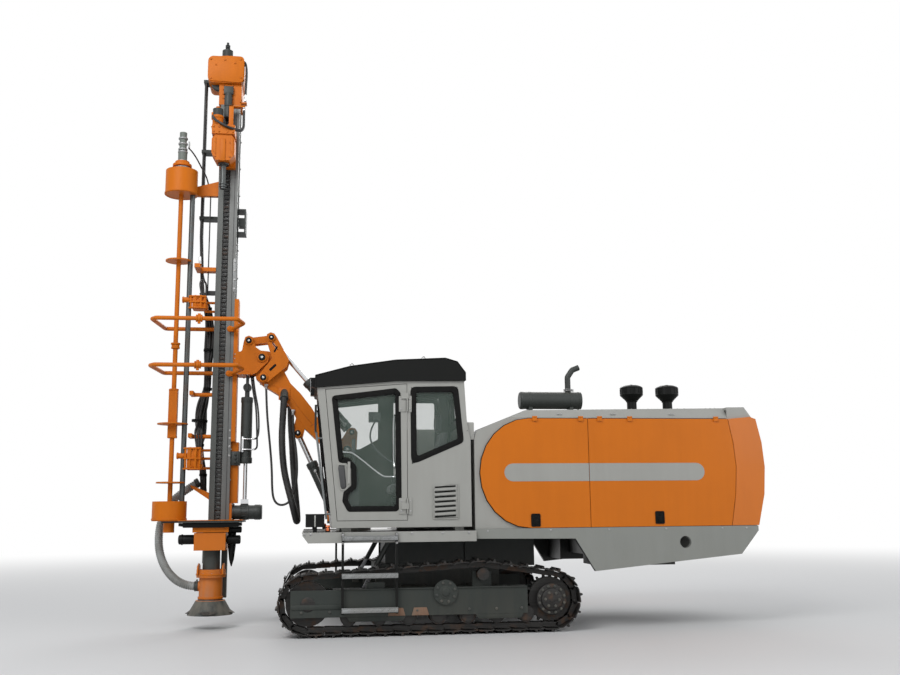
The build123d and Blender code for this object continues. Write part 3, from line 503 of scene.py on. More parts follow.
def place(part, name, body, material, slot, bevel=2.0, angle=35):
    """Finished piece: edges bevelled, smooth shaded, on its body with its material; the slot is not used."""
    rough = bpy.data.objects.new(name + "_form", part.mesh(name + "_form"))
    bpy.context.scene.collection.objects.link(rough)
    if bevel:
        soften = rough.modifiers.new("Edges", "BEVEL")
        soften.width, soften.segments = bevel * MM, 2
        soften.limit_method, soften.angle_limit = "ANGLE", math.radians(angle)
    piece = baked(rough, name)
    return dressed(piece, body, material, slot, angle)


def dressed(piece, body, material, slot, angle=35):
    piece.data.materials.clear()
    piece.data.materials.append(finish(material))
    shaded(piece.data, angle)
    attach(piece, body)
    return piece


# Geometry node trees
def repeat_tree():
    """Puts a piece at each point, its Z along 'facing' and its X along 'heading'."""
    group = bpy.data.node_groups.new("Repeat at points", "GeometryNodeTree")
    face = group.interface
    face.new_socket(name="Geometry", in_out="OUTPUT", socket_type="NodeSocketGeometry")
    face.new_socket(name="Points", in_out="INPUT", socket_type="NodeSocketGeometry")
    face.new_socket(name="Piece", in_out="INPUT", socket_type="NodeSocketObject")
    face.new_socket(name="Size", in_out="INPUT", socket_type="NodeSocketFloat")
    face.new_socket(name="Finish", in_out="INPUT", socket_type="NodeSocketMaterial")
    t = Tree(group)
    given = t.add("NodeGroupInput")
    piece = t.add("GeometryNodeObjectInfo", {"transform_space": "ORIGINAL"},
            {"Object": given.out(1)}).out(4)
    vector = {"data_type": "FLOAT_VECTOR"}
    facing = t.add("GeometryNodeInputNamedAttribute", vector, {"Name": "facing"})
    heading = t.add("GeometryNodeInputNamedAttribute", vector, {"Name": "heading"})
    turn = t.add("FunctionNodeAlignRotationToVector", {"axis": "Z"}, {"Vector": facing})
    turn = t.add("FunctionNodeAlignRotationToVector", {"axis": "X", "pivot_axis": "Z"},
            {"Rotation": turn, "Vector": heading})
    copies = t.add("GeometryNodeInstanceOnPoints", {},
            {"Points": given, "Instance": piece, "Rotation": turn, "Scale": given.out(2)})
    real = t.add("GeometryNodeRealizeInstances", {}, {"Geometry": copies})
    done = t.add("GeometryNodeSetMaterial", {}, {"Geometry": real, "Material": given.out(3)})
    t.add("NodeGroupOutput", {}, {0: done})
    return group


def ribbed_tree():
    """Sweeps a round section along a curve, its radius rising at each rib."""
    group = bpy.data.node_groups.new("Ribbed hose", "GeometryNodeTree")
    face = group.interface
    face.new_socket(name="Geometry", in_out="OUTPUT", socket_type="NodeSocketGeometry")
    face.new_socket(name="Line", in_out="INPUT", socket_type="NodeSocketGeometry")
    for name in ("Radius", "Rib height", "Rib spacing"):
        face.new_socket(name=name, in_out="INPUT", socket_type="NodeSocketFloat")
    face.new_socket(name="Finish", in_out="INPUT", socket_type="NodeSocketMaterial")
    t = Tree(group)
    given = t.add("NodeGroupInput")
    line = t.add("GeometryNodeResampleCurve", {"mode": "LENGTH"},
            {"Curve": given, "Length": given.out(3) / 6})
    along = t.add("GeometryNodeSplineParameter").out(1)
    wave = (along / given.out(3) * math.tau).sine()
    section = t.add("GeometryNodeCurvePrimitiveCircle", {}, {"Resolution": 20, "Radius": 1.0})
    size = given.out(1) - given.out(2) * (0.5 - wave * 0.5)
    swept = t.add("GeometryNodeCurveToMesh", {}, {"Curve": line, "Profile Curve": section, "Scale": size,
            "Fill Caps": True})
    done = t.add("GeometryNodeSetMaterial", {}, {"Geometry": swept, "Material": given.out(4)})
    t.add("NodeGroupOutput", {}, {0: done})
    return group


TREES = {}


def tree(name):
    if name not in TREES:
        TREES[name] = {"repeat": repeat_tree, "ribbed": ribbed_tree}[name]()
    return TREES[name]


def run_tree(source, name, group, **inputs):
    """Runs a geometry tree on the object and returns its plain result."""
    change = source.modifiers.new("Nodes", "NODES")
    change.node_group = group
    for item in group.interface.items_tree:
        if item.in_out == "INPUT" and item.name.replace(" ", "_") in inputs:
            change[item.identifier] = inputs[item.name.replace(" ", "_")]
    return baked(source, name)


def repeated(name, body, material, slot, form, places, angle=35):
    """Copies of a form at places, each (point, facing, heading) in millimetres, through the repeat tree."""
    data = bpy.data.meshes.new(name + "_points")
    data.from_pydata([Vector(p) * MM for p, _, _ in places], [], [])
    for key, column in (("facing", 1), ("heading", 2)):
        values = data.attributes.new(key, "FLOAT_VECTOR", "POINT").data
        for value, row in zip(values, places):
            value.vector = Vector(row[column]).normalized()
    points = bpy.data.objects.new(name + "_points", data)
    model = bpy.data.objects.new(name + "_form", form)
    for o in (points, model):
        bpy.context.scene.collection.objects.link(o)
    piece = run_tree(points, name, tree("repeat"), Piece=model, Size=1.0, Finish=finish(material))
    bpy.data.objects.remove(model)
    return dressed(piece, body, material, slot, angle)


def bolt_form(r, h):
    """Hexagon head on its washer, standing on Z 0."""
    p = Part()
    p.turned((0, 0, -1), (0, 0, 1), [(0, r * 1.25), (1 + h * 0.22, r * 1.25)], 12)
    p.turned((0, 0, h * 0.2), (0, 0, 1), [(0, r), (h * 0.7, r), (h * 0.85, r * 0.82)], 6)
    return p.mesh("bolt_form")


def bolts(name, body, spots, r=9, h=9, material="pin_steel", slot="dark_metal"):
    """Bolt heads at spots of (point, facing)."""
    places = [(p, d, Vector(d).orthogonal()) for p, d in spots]
    return repeated(name, body, material, slot, bolt_form(r, h), places)


def circle_spots(centre, axis, radius, count, start=0.0):
    """Points on a circle about the axis, each with the axis as its facing."""
    axis = Vector(axis).normalized()
    side = axis.orthogonal().normalized()
    up = axis.cross(side)
    spots = []
    for i in range(count):
        a = start + math.tau * i / count
        spots.append((Vector(centre) + (side * math.cos(a) + up * math.sin(a)) * radius, axis))
    return spots


# Settings
class RigPaint(bpy.types.PropertyGroup):
    """Colours of the rig."""
    orange: FloatVectorProperty(name="Orange", description="Panels, boom and mast parts", subtype="COLOR",
            size=3, default=screen(203, 108, 8))
    light_grey: FloatVectorProperty(name="Light grey", description="Cab, deck and hood shell",
            subtype="COLOR", size=3, default=screen(156, 156, 151))
    grey: FloatVectorProperty(name="Rear grey", description="Rear frame and counterweight",
            subtype="COLOR", size=3, default=screen(134, 136, 131))
    dark_metal: FloatVectorProperty(name="Dark metal", description="Motors and castings", subtype="COLOR",
            size=3, default=screen(54, 58, 56))
    glass: FloatVectorProperty(name="Glass", description="Tint of the cab's panes", subtype="COLOR",
            size=3, default=screen(120, 138, 128))


class RigTracks(bpy.types.PropertyGroup):
    """Sizes of the crawler tracks."""
    shoes: IntProperty(name="Shoes", description="Shoes on each track", default=40, min=30, max=60)
    lug: FloatProperty(name="Lug height", description="Height of each shoe's lug", default=0.0245,
            subtype="DISTANCE", unit="LENGTH")


class RigHoses(bpy.types.PropertyGroup):
    """Sizes of the hoses."""
    suction: FloatProperty(name="Suction hose", description="Diameter of the ribbed suction hose",
            default=0.090, subtype="DISTANCE", unit="LENGTH")
    rib: FloatProperty(name="Rib spacing", description="Distance between the ribs of the suction hose",
            default=0.022, subtype="DISTANCE", unit="LENGTH")


class RigStage(bpy.types.PropertyGroup):
    """Floor and light."""
    floor: FloatProperty(name="Floor", description="Half the width of the floor", default=60.0,
            subtype="DISTANCE", unit="LENGTH")
    key: FloatProperty(name="Key light", description="Power of the key light in watts", default=900.0)


class RigSettings(bpy.types.PropertyGroup):
    """All settings of the rig."""
    paint: PointerProperty(type=RigPaint)
    tracks: PointerProperty(type=RigTracks)
    hoses: PointerProperty(type=RigHoses)
    stage: PointerProperty(type=RigStage)


def settings():
    return bpy.context.scene.drill_rig


# Stage and finishes
CAMERA_AT = (-1.498, -11.1, 1.15)
CAMERA_YAW, CAMERA_PITCH, CAMERA_ROLL, CAMERA_LENS = 8.0, 10.0, 0.6, 40.0


class RIG_OT_stage(bpy.types.Operator):
    """Camera, floor and soft studio light"""
    bl_idname = "rig.stage"
    bl_label = "Stage"

    def execute(self, context):
        scene, wanted = context.scene, settings().stage
        scene.view_settings.view_transform = "Standard"
        yaw, pitch = math.radians(CAMERA_YAW), math.radians(CAMERA_PITCH)
        ahead = Vector((math.sin(yaw) * math.cos(pitch), math.cos(yaw) * math.cos(pitch), math.sin(pitch)))
        lens = bpy.data.cameras.new("camera")
        lens.lens, lens.sensor_width, lens.clip_end = CAMERA_LENS, 36.0, 200.0
        camera = bpy.data.objects.new("camera", lens)
        camera.location = CAMERA_AT
        camera.rotation_mode = "QUATERNION"
        camera.rotation_quaternion = ahead.to_track_quat("-Z", "Y") @ Quaternion((0, 0, 1),
                -math.radians(CAMERA_ROLL))
        scene.collection.objects.link(camera)
        scene.camera = camera

        f = Finish("studio_floor")
        far = (f.x * f.x + f.y * f.y).maths("SQRT", f.x * f.x + f.y * f.y).step(3.0, 26.0)
        rays = f.t.add("ShaderNodeLightPath")
        seen = rays.maths("MAXIMUM", rays.maths("MAXIMUM", rays, rays.out(3)), rays.out(6))
        white = f.t.add("ShaderNodeEmission", {}, {"Color": (1, 1, 1), "Strength": 1.0})
        tone = f.t.blend(f.t.noise(f.where, 0.35, 3.0) * 0.1, screen(205, 205, 205), screen(190, 190, 190))
        f.surface({"Base Color": tone, "Roughness": 0.62}, (far * seen, white))
        half = wanted.floor
        data = bpy.data.meshes.new("studio_floor")
        data.from_pydata([(-half, -half, 0), (half, -half, 0), (half, half, 0), (-half, half, 0)], [],
                [(0, 1, 2, 3)])
        floor = bpy.data.objects.new("studio_floor", data)
        data.materials.append(f.material)
        scene.collection.objects.link(floor)

        world = bpy.data.worlds.new("studio")
        world.use_nodes = True
        world.node_tree.nodes.clear()
        t = Tree(world.node_tree)
        rays = t.add("ShaderNodeLightPath")
        seen = rays.maths("MAXIMUM", rays.maths("MAXIMUM", rays, rays.out(3)), rays.out(6))
        soft = t.add("ShaderNodeBackground", {}, {"Color": (0.93, 0.96, 1.0), "Strength": 0.5})
        plain = t.add("ShaderNodeBackground", {}, {"Color": (1, 1, 1), "Strength": 1.0})
        t.add("ShaderNodeOutputWorld", {}, {0: t.add("ShaderNodeMixShader", {},
                {0: seen, 1: soft, 2: plain})})
        scene.world = world

        for name, power, size, at, to in (("key", wanted.key, 6.0, (-6.0, -9.0, 10.0), (0, 0, 1.5)),
                ("fill", wanted.key * 0.35, 8.0, (9.0, -8.0, 6.0), (0, 0, 1.5)),
                ("back", wanted.key * 0.45, 6.0, (2.0, 10.0, 9.0), (0, 0, 1.5))):
            lamp = bpy.data.lights.new(name, "AREA")
            lamp.energy, lamp.size = power, size
            light = bpy.data.objects.new(name, lamp)
            light.location = at
            light.rotation_mode = "QUATERNION"
            light.rotation_quaternion = (Vector(to) - Vector(at)).to_track_quat("-Z", "Y")
            scene.collection.objects.link(light)
        return {"FINISHED"}


NODE_FINISH = {"track_left": "track_steel", "track_right": "track_steel", "track_frames": "crawler_grey",
        "track_wheels": "track_steel", "undercarriage": "dark_metal",
        "tie_down_lugs": "dark_metal", "oscillation_cylinders": "oscillation_cylinders",
        "deck": "light_grey_paint", "rear_frame": "rear_frame", "ladders": "black_paint",
        "hood_shell": "light_grey_paint", "rear_cover": "rear_cover", "rear_grille": "black_paint",
        "engine_block": "dark_metal", "muffler": "dark_metal",
        "pre_cleaners": "black_paint", "cab_shell": "cab_shell", "cab_glass": "window_glass",
        "cab_door_glass": "window_glass", "cab_roof": "black_paint",
        "cab_lifting_eyes": "black_paint", "operator_seat": "seat_fabric", "cab_console": "cab_plastic",
        "cab_mirror": "cab_mirror", "work_lamps": "black_paint",
        "equipment_boxes": "light_grey_paint", "cab_door": "cab_shell", "swing_bracket": "swing_bracket",
        "boom": "mast_orange", "lift_barrel": "dark_metal",
        "lift_rod": "cylinder_rod", "tilt_barrel": "dark_metal", "tilt_rod": "cylinder_rod",
        "tilt_lever": "mast_orange", "tilt_link": "mast_orange",
        "feed_holder": "mast_orange", "slide_barrel": "dark_metal", "slide_rod": "cylinder_rod",
        "mast_beam": "mast_beam", "feed_chain": "chain_steel",
        "mast_head": "mast_head", "mast_fittings": "mast_fittings", "mast_foot": "mast_foot",
        "dust_hood": "dust_hood", "feed_motor": "feed_motor",
        "guard_hoops": "mast_orange", "rod_grippers": "mast_orange", "carousel_frame": "carousel_frame",
        "mast_hoses": "hose_rubber", "suction_hose": "dust_hose",
        "carousel_rotor": "mast_orange", "stored_drill_rod": "drill_steel", "rotary_head": "rotary_head",
        "drill_spindle": "drill_steel",
        "hood_door_front_left": "orange_paint", "hood_door_front_right": "orange_paint",
        "hood_door_rear_left": "orange_paint", "hood_door_rear_right": "orange_paint",}


class RIG_OT_finishes(bpy.types.Operator):
    """Makes the materials and gives one to each node of the frame"""
    bl_idname = "rig.finishes"
    bl_label = "Finishes"

    def execute(self, context):
        make_finishes(settings().paint)
        left = sorted(set(NODES) - set(NODE_FINISH))
        if left:
            raise RuntimeError(f"no finish for {left}")
        for node, name in NODE_FINISH.items():
            slots = NODES[node].data.materials
            slots.clear()
            slots.append(finish(name))
        return {"FINISHED"}


# Crawler
WHEEL_Z, PLATE_R, FRAME_FRONT_X = 310.0, 285.0, -1660
IDLER_X, SPROCKET_X, CARRIER_X, CARRIER_TOP = -1500.0, 885.0, 210.0, 695.0
TRACK_IN, TRACK_OUT, FRAME_OUT = 870.0, 1200.0, 1170.0


def track_loop():
    """Straight and round legs of the track's outer plate line."""
    def touch(cx, sign):
        d = math.hypot(CARRIER_X - cx, CARRIER_TOP - WHEEL_Z)
        return math.atan2(CARRIER_TOP - WHEEL_Z, CARRIER_X - cx) + sign * math.acos(PLATE_R / d)
    rear, front = touch(SPROCKET_X, -1), touch(IDLER_X, 1)
    def on(cx, a):
        return (cx + PLATE_R * math.cos(a), WHEEL_Z + PLATE_R * math.sin(a))
    top = (CARRIER_X, CARRIER_TOP)
    return [("line", (IDLER_X, WHEEL_Z - PLATE_R), (SPROCKET_X, WHEEL_Z - PLATE_R)),
            ("arc", SPROCKET_X, -math.pi / 2, rear),
            ("line", on(SPROCKET_X, rear), top), ("line", top, on(IDLER_X, front)),
            ("arc", IDLER_X, front, math.pi * 1.5)]


def leg_length(leg):
    return math.dist(leg[1], leg[2]) if leg[0] == "line" else PLATE_R * (leg[3] - leg[2])


def track_at(s):
    """Point on the plate line and its outward normal, s along the loop."""
    legs = track_loop()
    s %= sum(leg_length(g) for g in legs)
    for leg in legs:
        n = leg_length(leg)
        if s <= n:
            break
        s -= n
    if leg[0] == "line":
        (x0, z0), (x1, z1) = leg[1], leg[2]
        tx, tz = (x1 - x0) / n, (z1 - z0) / n
        return Vector((x0 + tx * s, 0, z0 + tz * s)), Vector((tz, 0, -tx))
    a = leg[2] + s / PLATE_R
    return Vector((leg[1] + PLATE_R * math.cos(a), 0,
            WHEEL_Z + PLATE_R * math.sin(a))), Vector((math.cos(a), 0, math.sin(a)))


def shoe_form(pitch, lug):
    """One shoe about its middle: plate with turned lips, one lug and its pair of chain links.

    X is across the rig, Z outward.
    """
    p = Part()
    half, wide = pitch / 2, (TRACK_OUT - TRACK_IN) / 2
    line = [(-half * 0.93, -14), (-half * 0.93, -4), (-half * 0.7, 0), (-14, 0), (-9, lug), (7, lug),
            (12, 0), (half * 0.62, 0), (half * 0.9, -9), (half * 0.98, -17), (half * 0.8, -19),
            (half * 0.5, -10), (-half * 0.7, -10)]
    p.loft([[(x, y, z) for y, z in line] for x in (-wide, wide)])
    for x in (-62, 62):
        for k in (-1, 1):
            side = [(-half - 10, -48), (-half - 2, -30), (-half + 12, -22), (half - 10, -12),
                    (half + 6, -22), (half + 12, -40), (half + 4, -56), (half - 12, -62), (-half + 10, -66),
                    (-half - 6, -60)]
            p.loft([[(x + k * 9 + w, y, z) for y, z in side] for w in (-5, 5)])
    p.bar((-80, half, -44), (80, half, -44), 14, 10)
    for x in (-105, -40, 40, 105):
        p.turned((x, half * 0.32, -1), (0, 0, 1), [(0, 9), (9, 9), (11, 7)], 6)
    return p.mesh("shoe_form")


class RIG_OT_tracks(bpy.types.Operator):
    """Track shoes with their chain, on a Geometry Nodes loop"""
    bl_idname = "rig.tracks"
    bl_label = "Tracks"

    def execute(self, context):
        count = settings().tracks.shoes
        whole = sum(leg_length(g) for g in track_loop())
        pitch = whole / count
        for side, name in ((-1, "track_left"), (1, "track_right")):
            places = []
            for i in range(count):
                at, out = track_at((i + 0.5) * pitch)
                at.y = side * (TRACK_IN + TRACK_OUT) / 2
                places.append((at, out, (0, 1, 0)))
            tread = repeated(name + "_shoes", "base", "track_steel", "track_steel",
                    shoe_form(pitch, settings().tracks.lug / MM), places)
            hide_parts(name)
        return {"FINISHED"}


class RIG_OT_crawler(bpy.types.Operator):
    """Roller guards, pivot covers, sprocket rings and the bolts of the crawler frames"""
    bl_idname = "rig.crawler"
    bl_label = "Crawler details"

    def execute(self, context):
        spots = []
        guards, rings, plates = Part(), Part(), Part()
        for side in (-1, 1):
            y = side * FRAME_OUT
            out = (0, side, 0)
            spots += circle_spots((-173, y + side * 22, 400), out, 92, 8, 0.3)
            plates.turned((-173, y + side * 10, 400), out,
                    [(0, 60), (13.5, 60), (15, 52), (15, 40), (24, 34)], 28)
            for x in (-1560, -1290, -1010, -730, -450, 60, 330, 580):
                spots.append(((x, y, 235), out))
            for x in (-650, -420):
                guards.plate([(x - 85, 188), (x - 62, 262), (x + 62, 262), (x + 85, 188)], y - side * 1,
                        y + side * 9)
            for x0, x1 in ((-1130, -560), (120, 600)):
                plates.plate([(x0, 186), (x0 + 30, 140), (x1 - 30, 140), (x1, 186)], y - side * 22,
                        y - side * 2)
            plates.plate([(FRAME_FRONT_X, 262), (FRAME_FRONT_X, 306), (-1180, 306), (-1180, 262)], y,
                    y + side * 8)
            plates.plate([(-1165, 436), (-1165, 446), (640, 446), (640, 436)], y - side * 40, y + side * 12)
            rings.turned((SPROCKET_X, y - side * 25, WHEEL_Z), out,
                    [(0, 150), (20, 150), (26, 142), (26, 110), (44, 104), (48, 92), (48, 30),
                    (52, 26)], 32)
            spots += circle_spots((SPROCKET_X, y + side * 1, WHEEL_Z), out, 128, 12)
            spots += circle_spots((SPROCKET_X, y + side * 23, WHEEL_Z), out, 70, 6, 0.2)
            rings.turned((IDLER_X, y - side * 25, WHEEL_Z), out, [(0, 70), (28, 70), (32, 62), (32, 30)],
                    24)
        place(guards, "roller_guards", "base", "guard_rust", "grey_paint")
        place(plates, "crawler_plates", "base", "crawler_grey", "grey_paint")
        place(rings, "sprocket_hubs", "base", "track_steel", "dark_metal", 1.5)
        bolts("crawler_bolts", "base", spots, 12, 12, "dark_metal")
        teeth = []
        for side in (-1, 1):
            for i in range(21):
                a = math.tau * i / 21
                teeth.append(((SPROCKET_X + 207 * math.cos(a), side * (TRACK_IN + TRACK_OUT) / 2,
                        WHEEL_Z + 207 * math.sin(a)), (math.cos(a), 0, math.sin(a)), (0, 1, 0)))
        tooth = Part().loft([[(x, -16, 0), (x, 16, 0), (x, 7, 34), (x, -7, 34)] for x in (-22,
                22)]).mesh("tooth")
        repeated("sprocket_teeth", "base", "track_steel", "track_steel", tooth, teeth)
        return {"FINISHED"}




# Outlines
def rounded(points, radius, steps=5):
    """Outline with its corners rounded."""
    out, n = [], len(points)
    for i in range(n):
        a, b, c = (Vector(points[(i + k) % n]) for k in (-1, 0, 1))
        u, v = (a - b), (c - b)
        half = u.angle(v) / 2
        reach = min(radius / max(math.tan(half), 0.05), u.length * 0.45, v.length * 0.45)
        p, q = b + u.normalized() * reach, b + v.normalized() * reach
        for k in range(steps + 1):
            t = k / steps
            out.append(tuple(p * (1 - t) ** 2 + b * 2 * t * (1 - t) + q * t * t))
    return out


def shifted(points, d):
    """Outline moved inward by d, or outward where d is negative."""
    n = len(points)
    pairs = [(points[i], points[(i + 1) % n]) for i in range(n)]
    area = sum(a[0] * b[1] - b[0] * a[1] for a, b in pairs)
    turn = 1 if area > 0 else -1
    out = []
    for i in range(n):
        a, b, c = (Vector(points[(i + k) % n]) for k in (-1, 0, 1))
        u, v = (b - a).normalized(), (c - b).normalized()
        nu, nv = Vector((-u.y, u.x)) * turn, Vector((-v.y, v.x)) * turn
        m = (nu + nv).normalized()
        out.append(tuple(b + m * d / max(m.dot(nu), 0.3)))
    return out


def band(part, outer, inner, y0, y1):
    """Flat ring between two outlines of (x, z) points with as many points each, from y0 to y1."""
    rings = [[(x, y0, z) for x, z in outer], [(x, y1, z) for x, z in outer],
            [(x, y1, z) for x, z in inner], [(x, y0, z) for x, z in inner]]
    made = [[part.bm.verts.new(Vector(p) * MM) for p in ring] for ring in rings]
    for a, b in zip(made, made[1:] + made[:1]):
        for i in range(len(a)):
            j = (i + 1) % len(a)
            part.bm.faces.new((a[i], a[j], b[j], b[i]))
    return part


# Hood
SHELL_Y, SIDE = 1120.0, 1150.0
FRONT_DOOR = [(701 - 508 * math.sin(math.pi * t / 12),
        1551 + 547 * math.cos(math.pi * t / 12)) for t in range(13)] + [(1313, 1004), (1313, 2098)]
REAR_DOOR = [(1319, 1004), (1319, 2098), (2820, 2098), (2866, 1850), (2885, 1600), (2862, 1320),
        (2805, 1004)]


PILL_STEPS = 10


def pill(x0, x1, z0, z1, left=True, right=True):
    """Bar outline with half-round ends where asked."""
    r, mid = (z1 - z0) / 2, (z0 + z1) / 2
    out = []
    for is_round, cx, turn, square in ((right, x1 - r, -0.5, [(x1, z0), (x1, z1)]),
            (left, x0 + r, 0.5, [(x0, z1), (x0, z0)])):
        angles = [math.pi * (k / PILL_STEPS + turn) for k in range(PILL_STEPS + 1)]
        out += [(cx + r * math.cos(a), mid + r * math.sin(a)) for a in angles] if is_round else square
    return out


def hood_top(x):
    return 2191 + (x - 692) * 31 / 2138


class RIG_OT_hood(bpy.types.Operator):
    """Grey stripe, latches, seals and roof panels of the engine hood"""
    bl_idname = "rig.hood"
    bl_label = "Hood details"

    def execute(self, context):
        seals = Part()
        for side, hand in ((-1, "left"), (1, "right")):
            face = side * SIDE
            for where, outline, stripe, latch in (("front", FRONT_DOOR,
                    pill(437, 1313, 1464, 1643, right=False), (748, 1079)),
                    ("rear", REAR_DOOR, pill(1319, 2540, 1464, 1643, left=False), (2038, 1092))):
                body = f"hood_door_{where}_{hand}"
                place(Part().plate(stripe, face - side * 0.5, face + side * 1.2),
                        f"grey_stripe_{where}_{hand}", body, "light_grey_paint", "light_grey_paint", 0)
                x, z = latch
                p = Part().plate(rounded([(x - 45, z - 61), (x + 45, z - 61), (x + 45, z + 61),
                        (x - 45, z + 61)], 14), face - side, face + side * 5)
                band(p, rounded([(x - 48, z - 64), (x + 48, z - 64), (x + 48, z + 64), (x - 48, z + 64)],
                        16),
                        rounded([(x - 38, z - 54), (x + 38, z - 54), (x + 38, z + 54), (x - 38, z + 54)], 10),
                        face - side, face + side * 9)
                p.plate(rounded([(x - 20, z - 44), (x + 20, z - 44), (x + 20, z + 12), (x - 20, z + 12)],
                        8), face, face + side * 12)
                p.turned((x, face, z + 34), (0, side, 0), [(0, 11), (9, 11), (10, 8)], 16)
                place(p, f"door_latch_{where}_{hand}", body, "rubber_seal", "black_paint",
                        1.5)
                around = rounded(outline, 14)
                band(seals, shifted(around, -7), shifted(around, 1), side * (SHELL_Y - 1),
                        side * (SHELL_Y + 9))
        place(seals, "door_seals", "base", "rubber_seal", "black_paint", 0)

        spots, panels, slots = [], Part(), []
        for x0, x1, y0, y1 in ((760, 1560, -980, -430), (760, 1560, 60, 980), (1640, 2060, -980, -260),
                (1640, 2060, 120, 980), (2250, 2460, -980, 980), (2640, 2800, -980, 980)):
            top = [(x0, hood_top(x0) - 1), (x1, hood_top(x1) - 1), (x1, hood_top(x1) + 4),
                    (x0, hood_top(x0) + 4)]
            panels.plate(top, y0, y1)
            for x in (x0 + 30, (x0 + x1) / 2, x1 - 30):
                for y in (y0 + 30, y1 - 30):
                    spots.append(((x, y, hood_top(x) + 4), (0, 0, 1)))
        for k in range(14):
            x = 800 + 52 * k
            slots.append(((x, 520, hood_top(x) + 4), (0, 0, 1), (0, 1, 0)))
        for k in range(7):
            x = 1680 + 54 * k
            slots += [((x, y, hood_top(x) + 4), (0, 0, 1), (0, 1, 0)) for y in (-620, 550)]
        place(panels, "hood_roof_panels", "base", "light_grey_paint", "light_grey_paint",
                1.5)
        louvre = Part().loft([[(x, -16, -2), (x, 20, -2), (x, 20, 14), (x, 16, 15),
                (x, -16, 3)] for x in (-210, 210)]).mesh("louvre")
        repeated("hood_louvres", "base", "light_grey_paint", "light_grey_paint", louvre, slots)
        for side in (-1, 1):
            y = side * (SIDE - 2)
            for x in (260, 900, 1500, 2100, 2700, 2960):
                spots.append(((x, side * 1150, 978), (0, side, 0)))
            for x in (1030, 1600, 2230):
                spots += [((x + k, side * 1105, 2150), (0, side * 0.8, 0.6)) for k in (-16, 16)]
        bolts("hood_bolts", "base", spots, 8, 7, "pin_steel")
        strip = Part().plate([(1590, hood_top(1590) + 3), (2350, hood_top(2350) + 3),
                (2350, hood_top(2350) + 12), (1590, hood_top(1590) + 12)], -250, -215)
        strip.plate([(172, 1986), (692, 2194), (692, 2188), (172, 1980)], -1010, -990)
        place(strip, "roof_rubber_strip", "base", "rubber_seal", "black_paint", 1)

        lamp = Part()
        for side in (-1, 1):
            lamp.level(rounded([(3100, side * 930 - 60), (3130, side * 930 - 60), (3130, side * 930 + 60),
                    (3100, side * 930 + 60)], 8), 1040, 1100)
        place(lamp, "rear_lamps", "base", "marker_lens", "orange_paint", 4)
        return {"FINISHED"}


class RIG_OT_exhaust(bpy.types.Operator):
    """End cap, straps and clamp of the muffler, and the bowls of the two pre-cleaners"""
    bl_idname = "rig.exhaust"
    bl_label = "Exhaust and air intakes"

    def execute(self, context):
        cap = Part().turned((786, -300, 2376), (1, 0, 0),
                [(0, 60), (0, 84), (5, 92), (14, 97), (30, 97.5), (44, 97), (45, 60)], 40)
        place(cap, "muffler_end_cap", "base", "dark_metal", "dark_metal", 1)
        p = Part()
        for x in (900, 1360):
            p.ring((x - 12, -300, 2376), (1, 0, 0), 95, 3, 40, 6)
            p.ring((x + 12, -300, 2376), (1, 0, 0), 95, 3, 40, 6)
            p.turned((x - 12, -300, 2376), (1, 0, 0), [(0, 92), (0, 98), (24, 98), (24, 92)], 40)
        p.turned((1446, -300, 2376), (1, 0, 0), [(0, 94), (0, 98), (14, 98), (14, 94)], 40)
        place(p, "muffler_straps", "base", "dark_metal", "dark_metal", 0.8)
        p = Part()
        for z in (2486, 2500):
            p.ring((1340, -300, z), (0, 0, 1), 47, 4, 28, 6)
        p.block(1340 + 44, 1340 + 66, -308, -292, 2480, 2506)
        place(p, "exhaust_clamp", "base", "pin_steel", "dark_metal", 1)
        ribs = []
        for x in (2139, 2562):
            p = Part().turned((x, -100, 2402), (0, 0, 1),
                    [(0, 72), (10, 78), (56, 126), (62, 129), (66, 131), (72, 131), (74, 126),
                    (136, 126), (140, 131), (146, 131), (158, 118), (172, 84), (176, 40)], 48)
            p.turned((x, -100, 2570), (0, 0, 1), [(0, 26), (12, 26), (16, 20)], 12)
            p.ring((x, -100, hood_top(x) + 22), (0, 0, 1), 58, 8, 32)
            p.ring((x, -100, hood_top(x) + 60), (0, 0, 1), 57, 5, 32)
            p.ring((x, -100, 2392), (0, 0, 1), 60, 6, 32)
            place(p, f"pre_cleaner_bowl_{x}", "base", "black_paint", "black_paint", 1)
            label = Part().turned((x, -100, 2492), (0, 0, 1),
                    [(0, 120), (0, 127.4), (32, 127.4), (32, 120)], 48)
            place(label, f"pre_cleaner_band_{x}", "base", "salmon", "orange_paint", 0)
            ribs += [((x + 128 * math.cos(a), -100 + 128 * math.sin(a), 2508),
                    (math.cos(a), math.sin(a), 0),
                    (0, 0, 1)) for a in (math.tau * k / 16 for k in range(16))]
        rib = Part().block(-28, 28, -3, 3, -3, 3).mesh("rib")
        repeated("pre_cleaner_ribs", "base", "black_paint", "black_paint", rib, ribs)
        return {"FINISHED"}


# Cab
CAB_NEAR, CAB_FAR = -1150.0, -150.0
DOOR_GLASS = [(-1285, 2310), (-655, 2390), (-615, 2350), (-605, 1240), (-645, 1187), (-1120, 1187),
        (-1172, 1283), (-1160, 1370), (-1085, 1428), (-1088, 1604), (-1140, 1662), (-1212, 1661)]
SIDE_GLASS = [(-500, 2405), (-30, 2415), (22, 1860), (-495, 1640)]
RIGHT_GLASS = [(-1270, 1500), (-1340, 2330), (-700, 2400), (-100, 2400), (-100, 1500)]


def cab_front(z):
    return -1277 - (z - 1024) * 159 / 1376


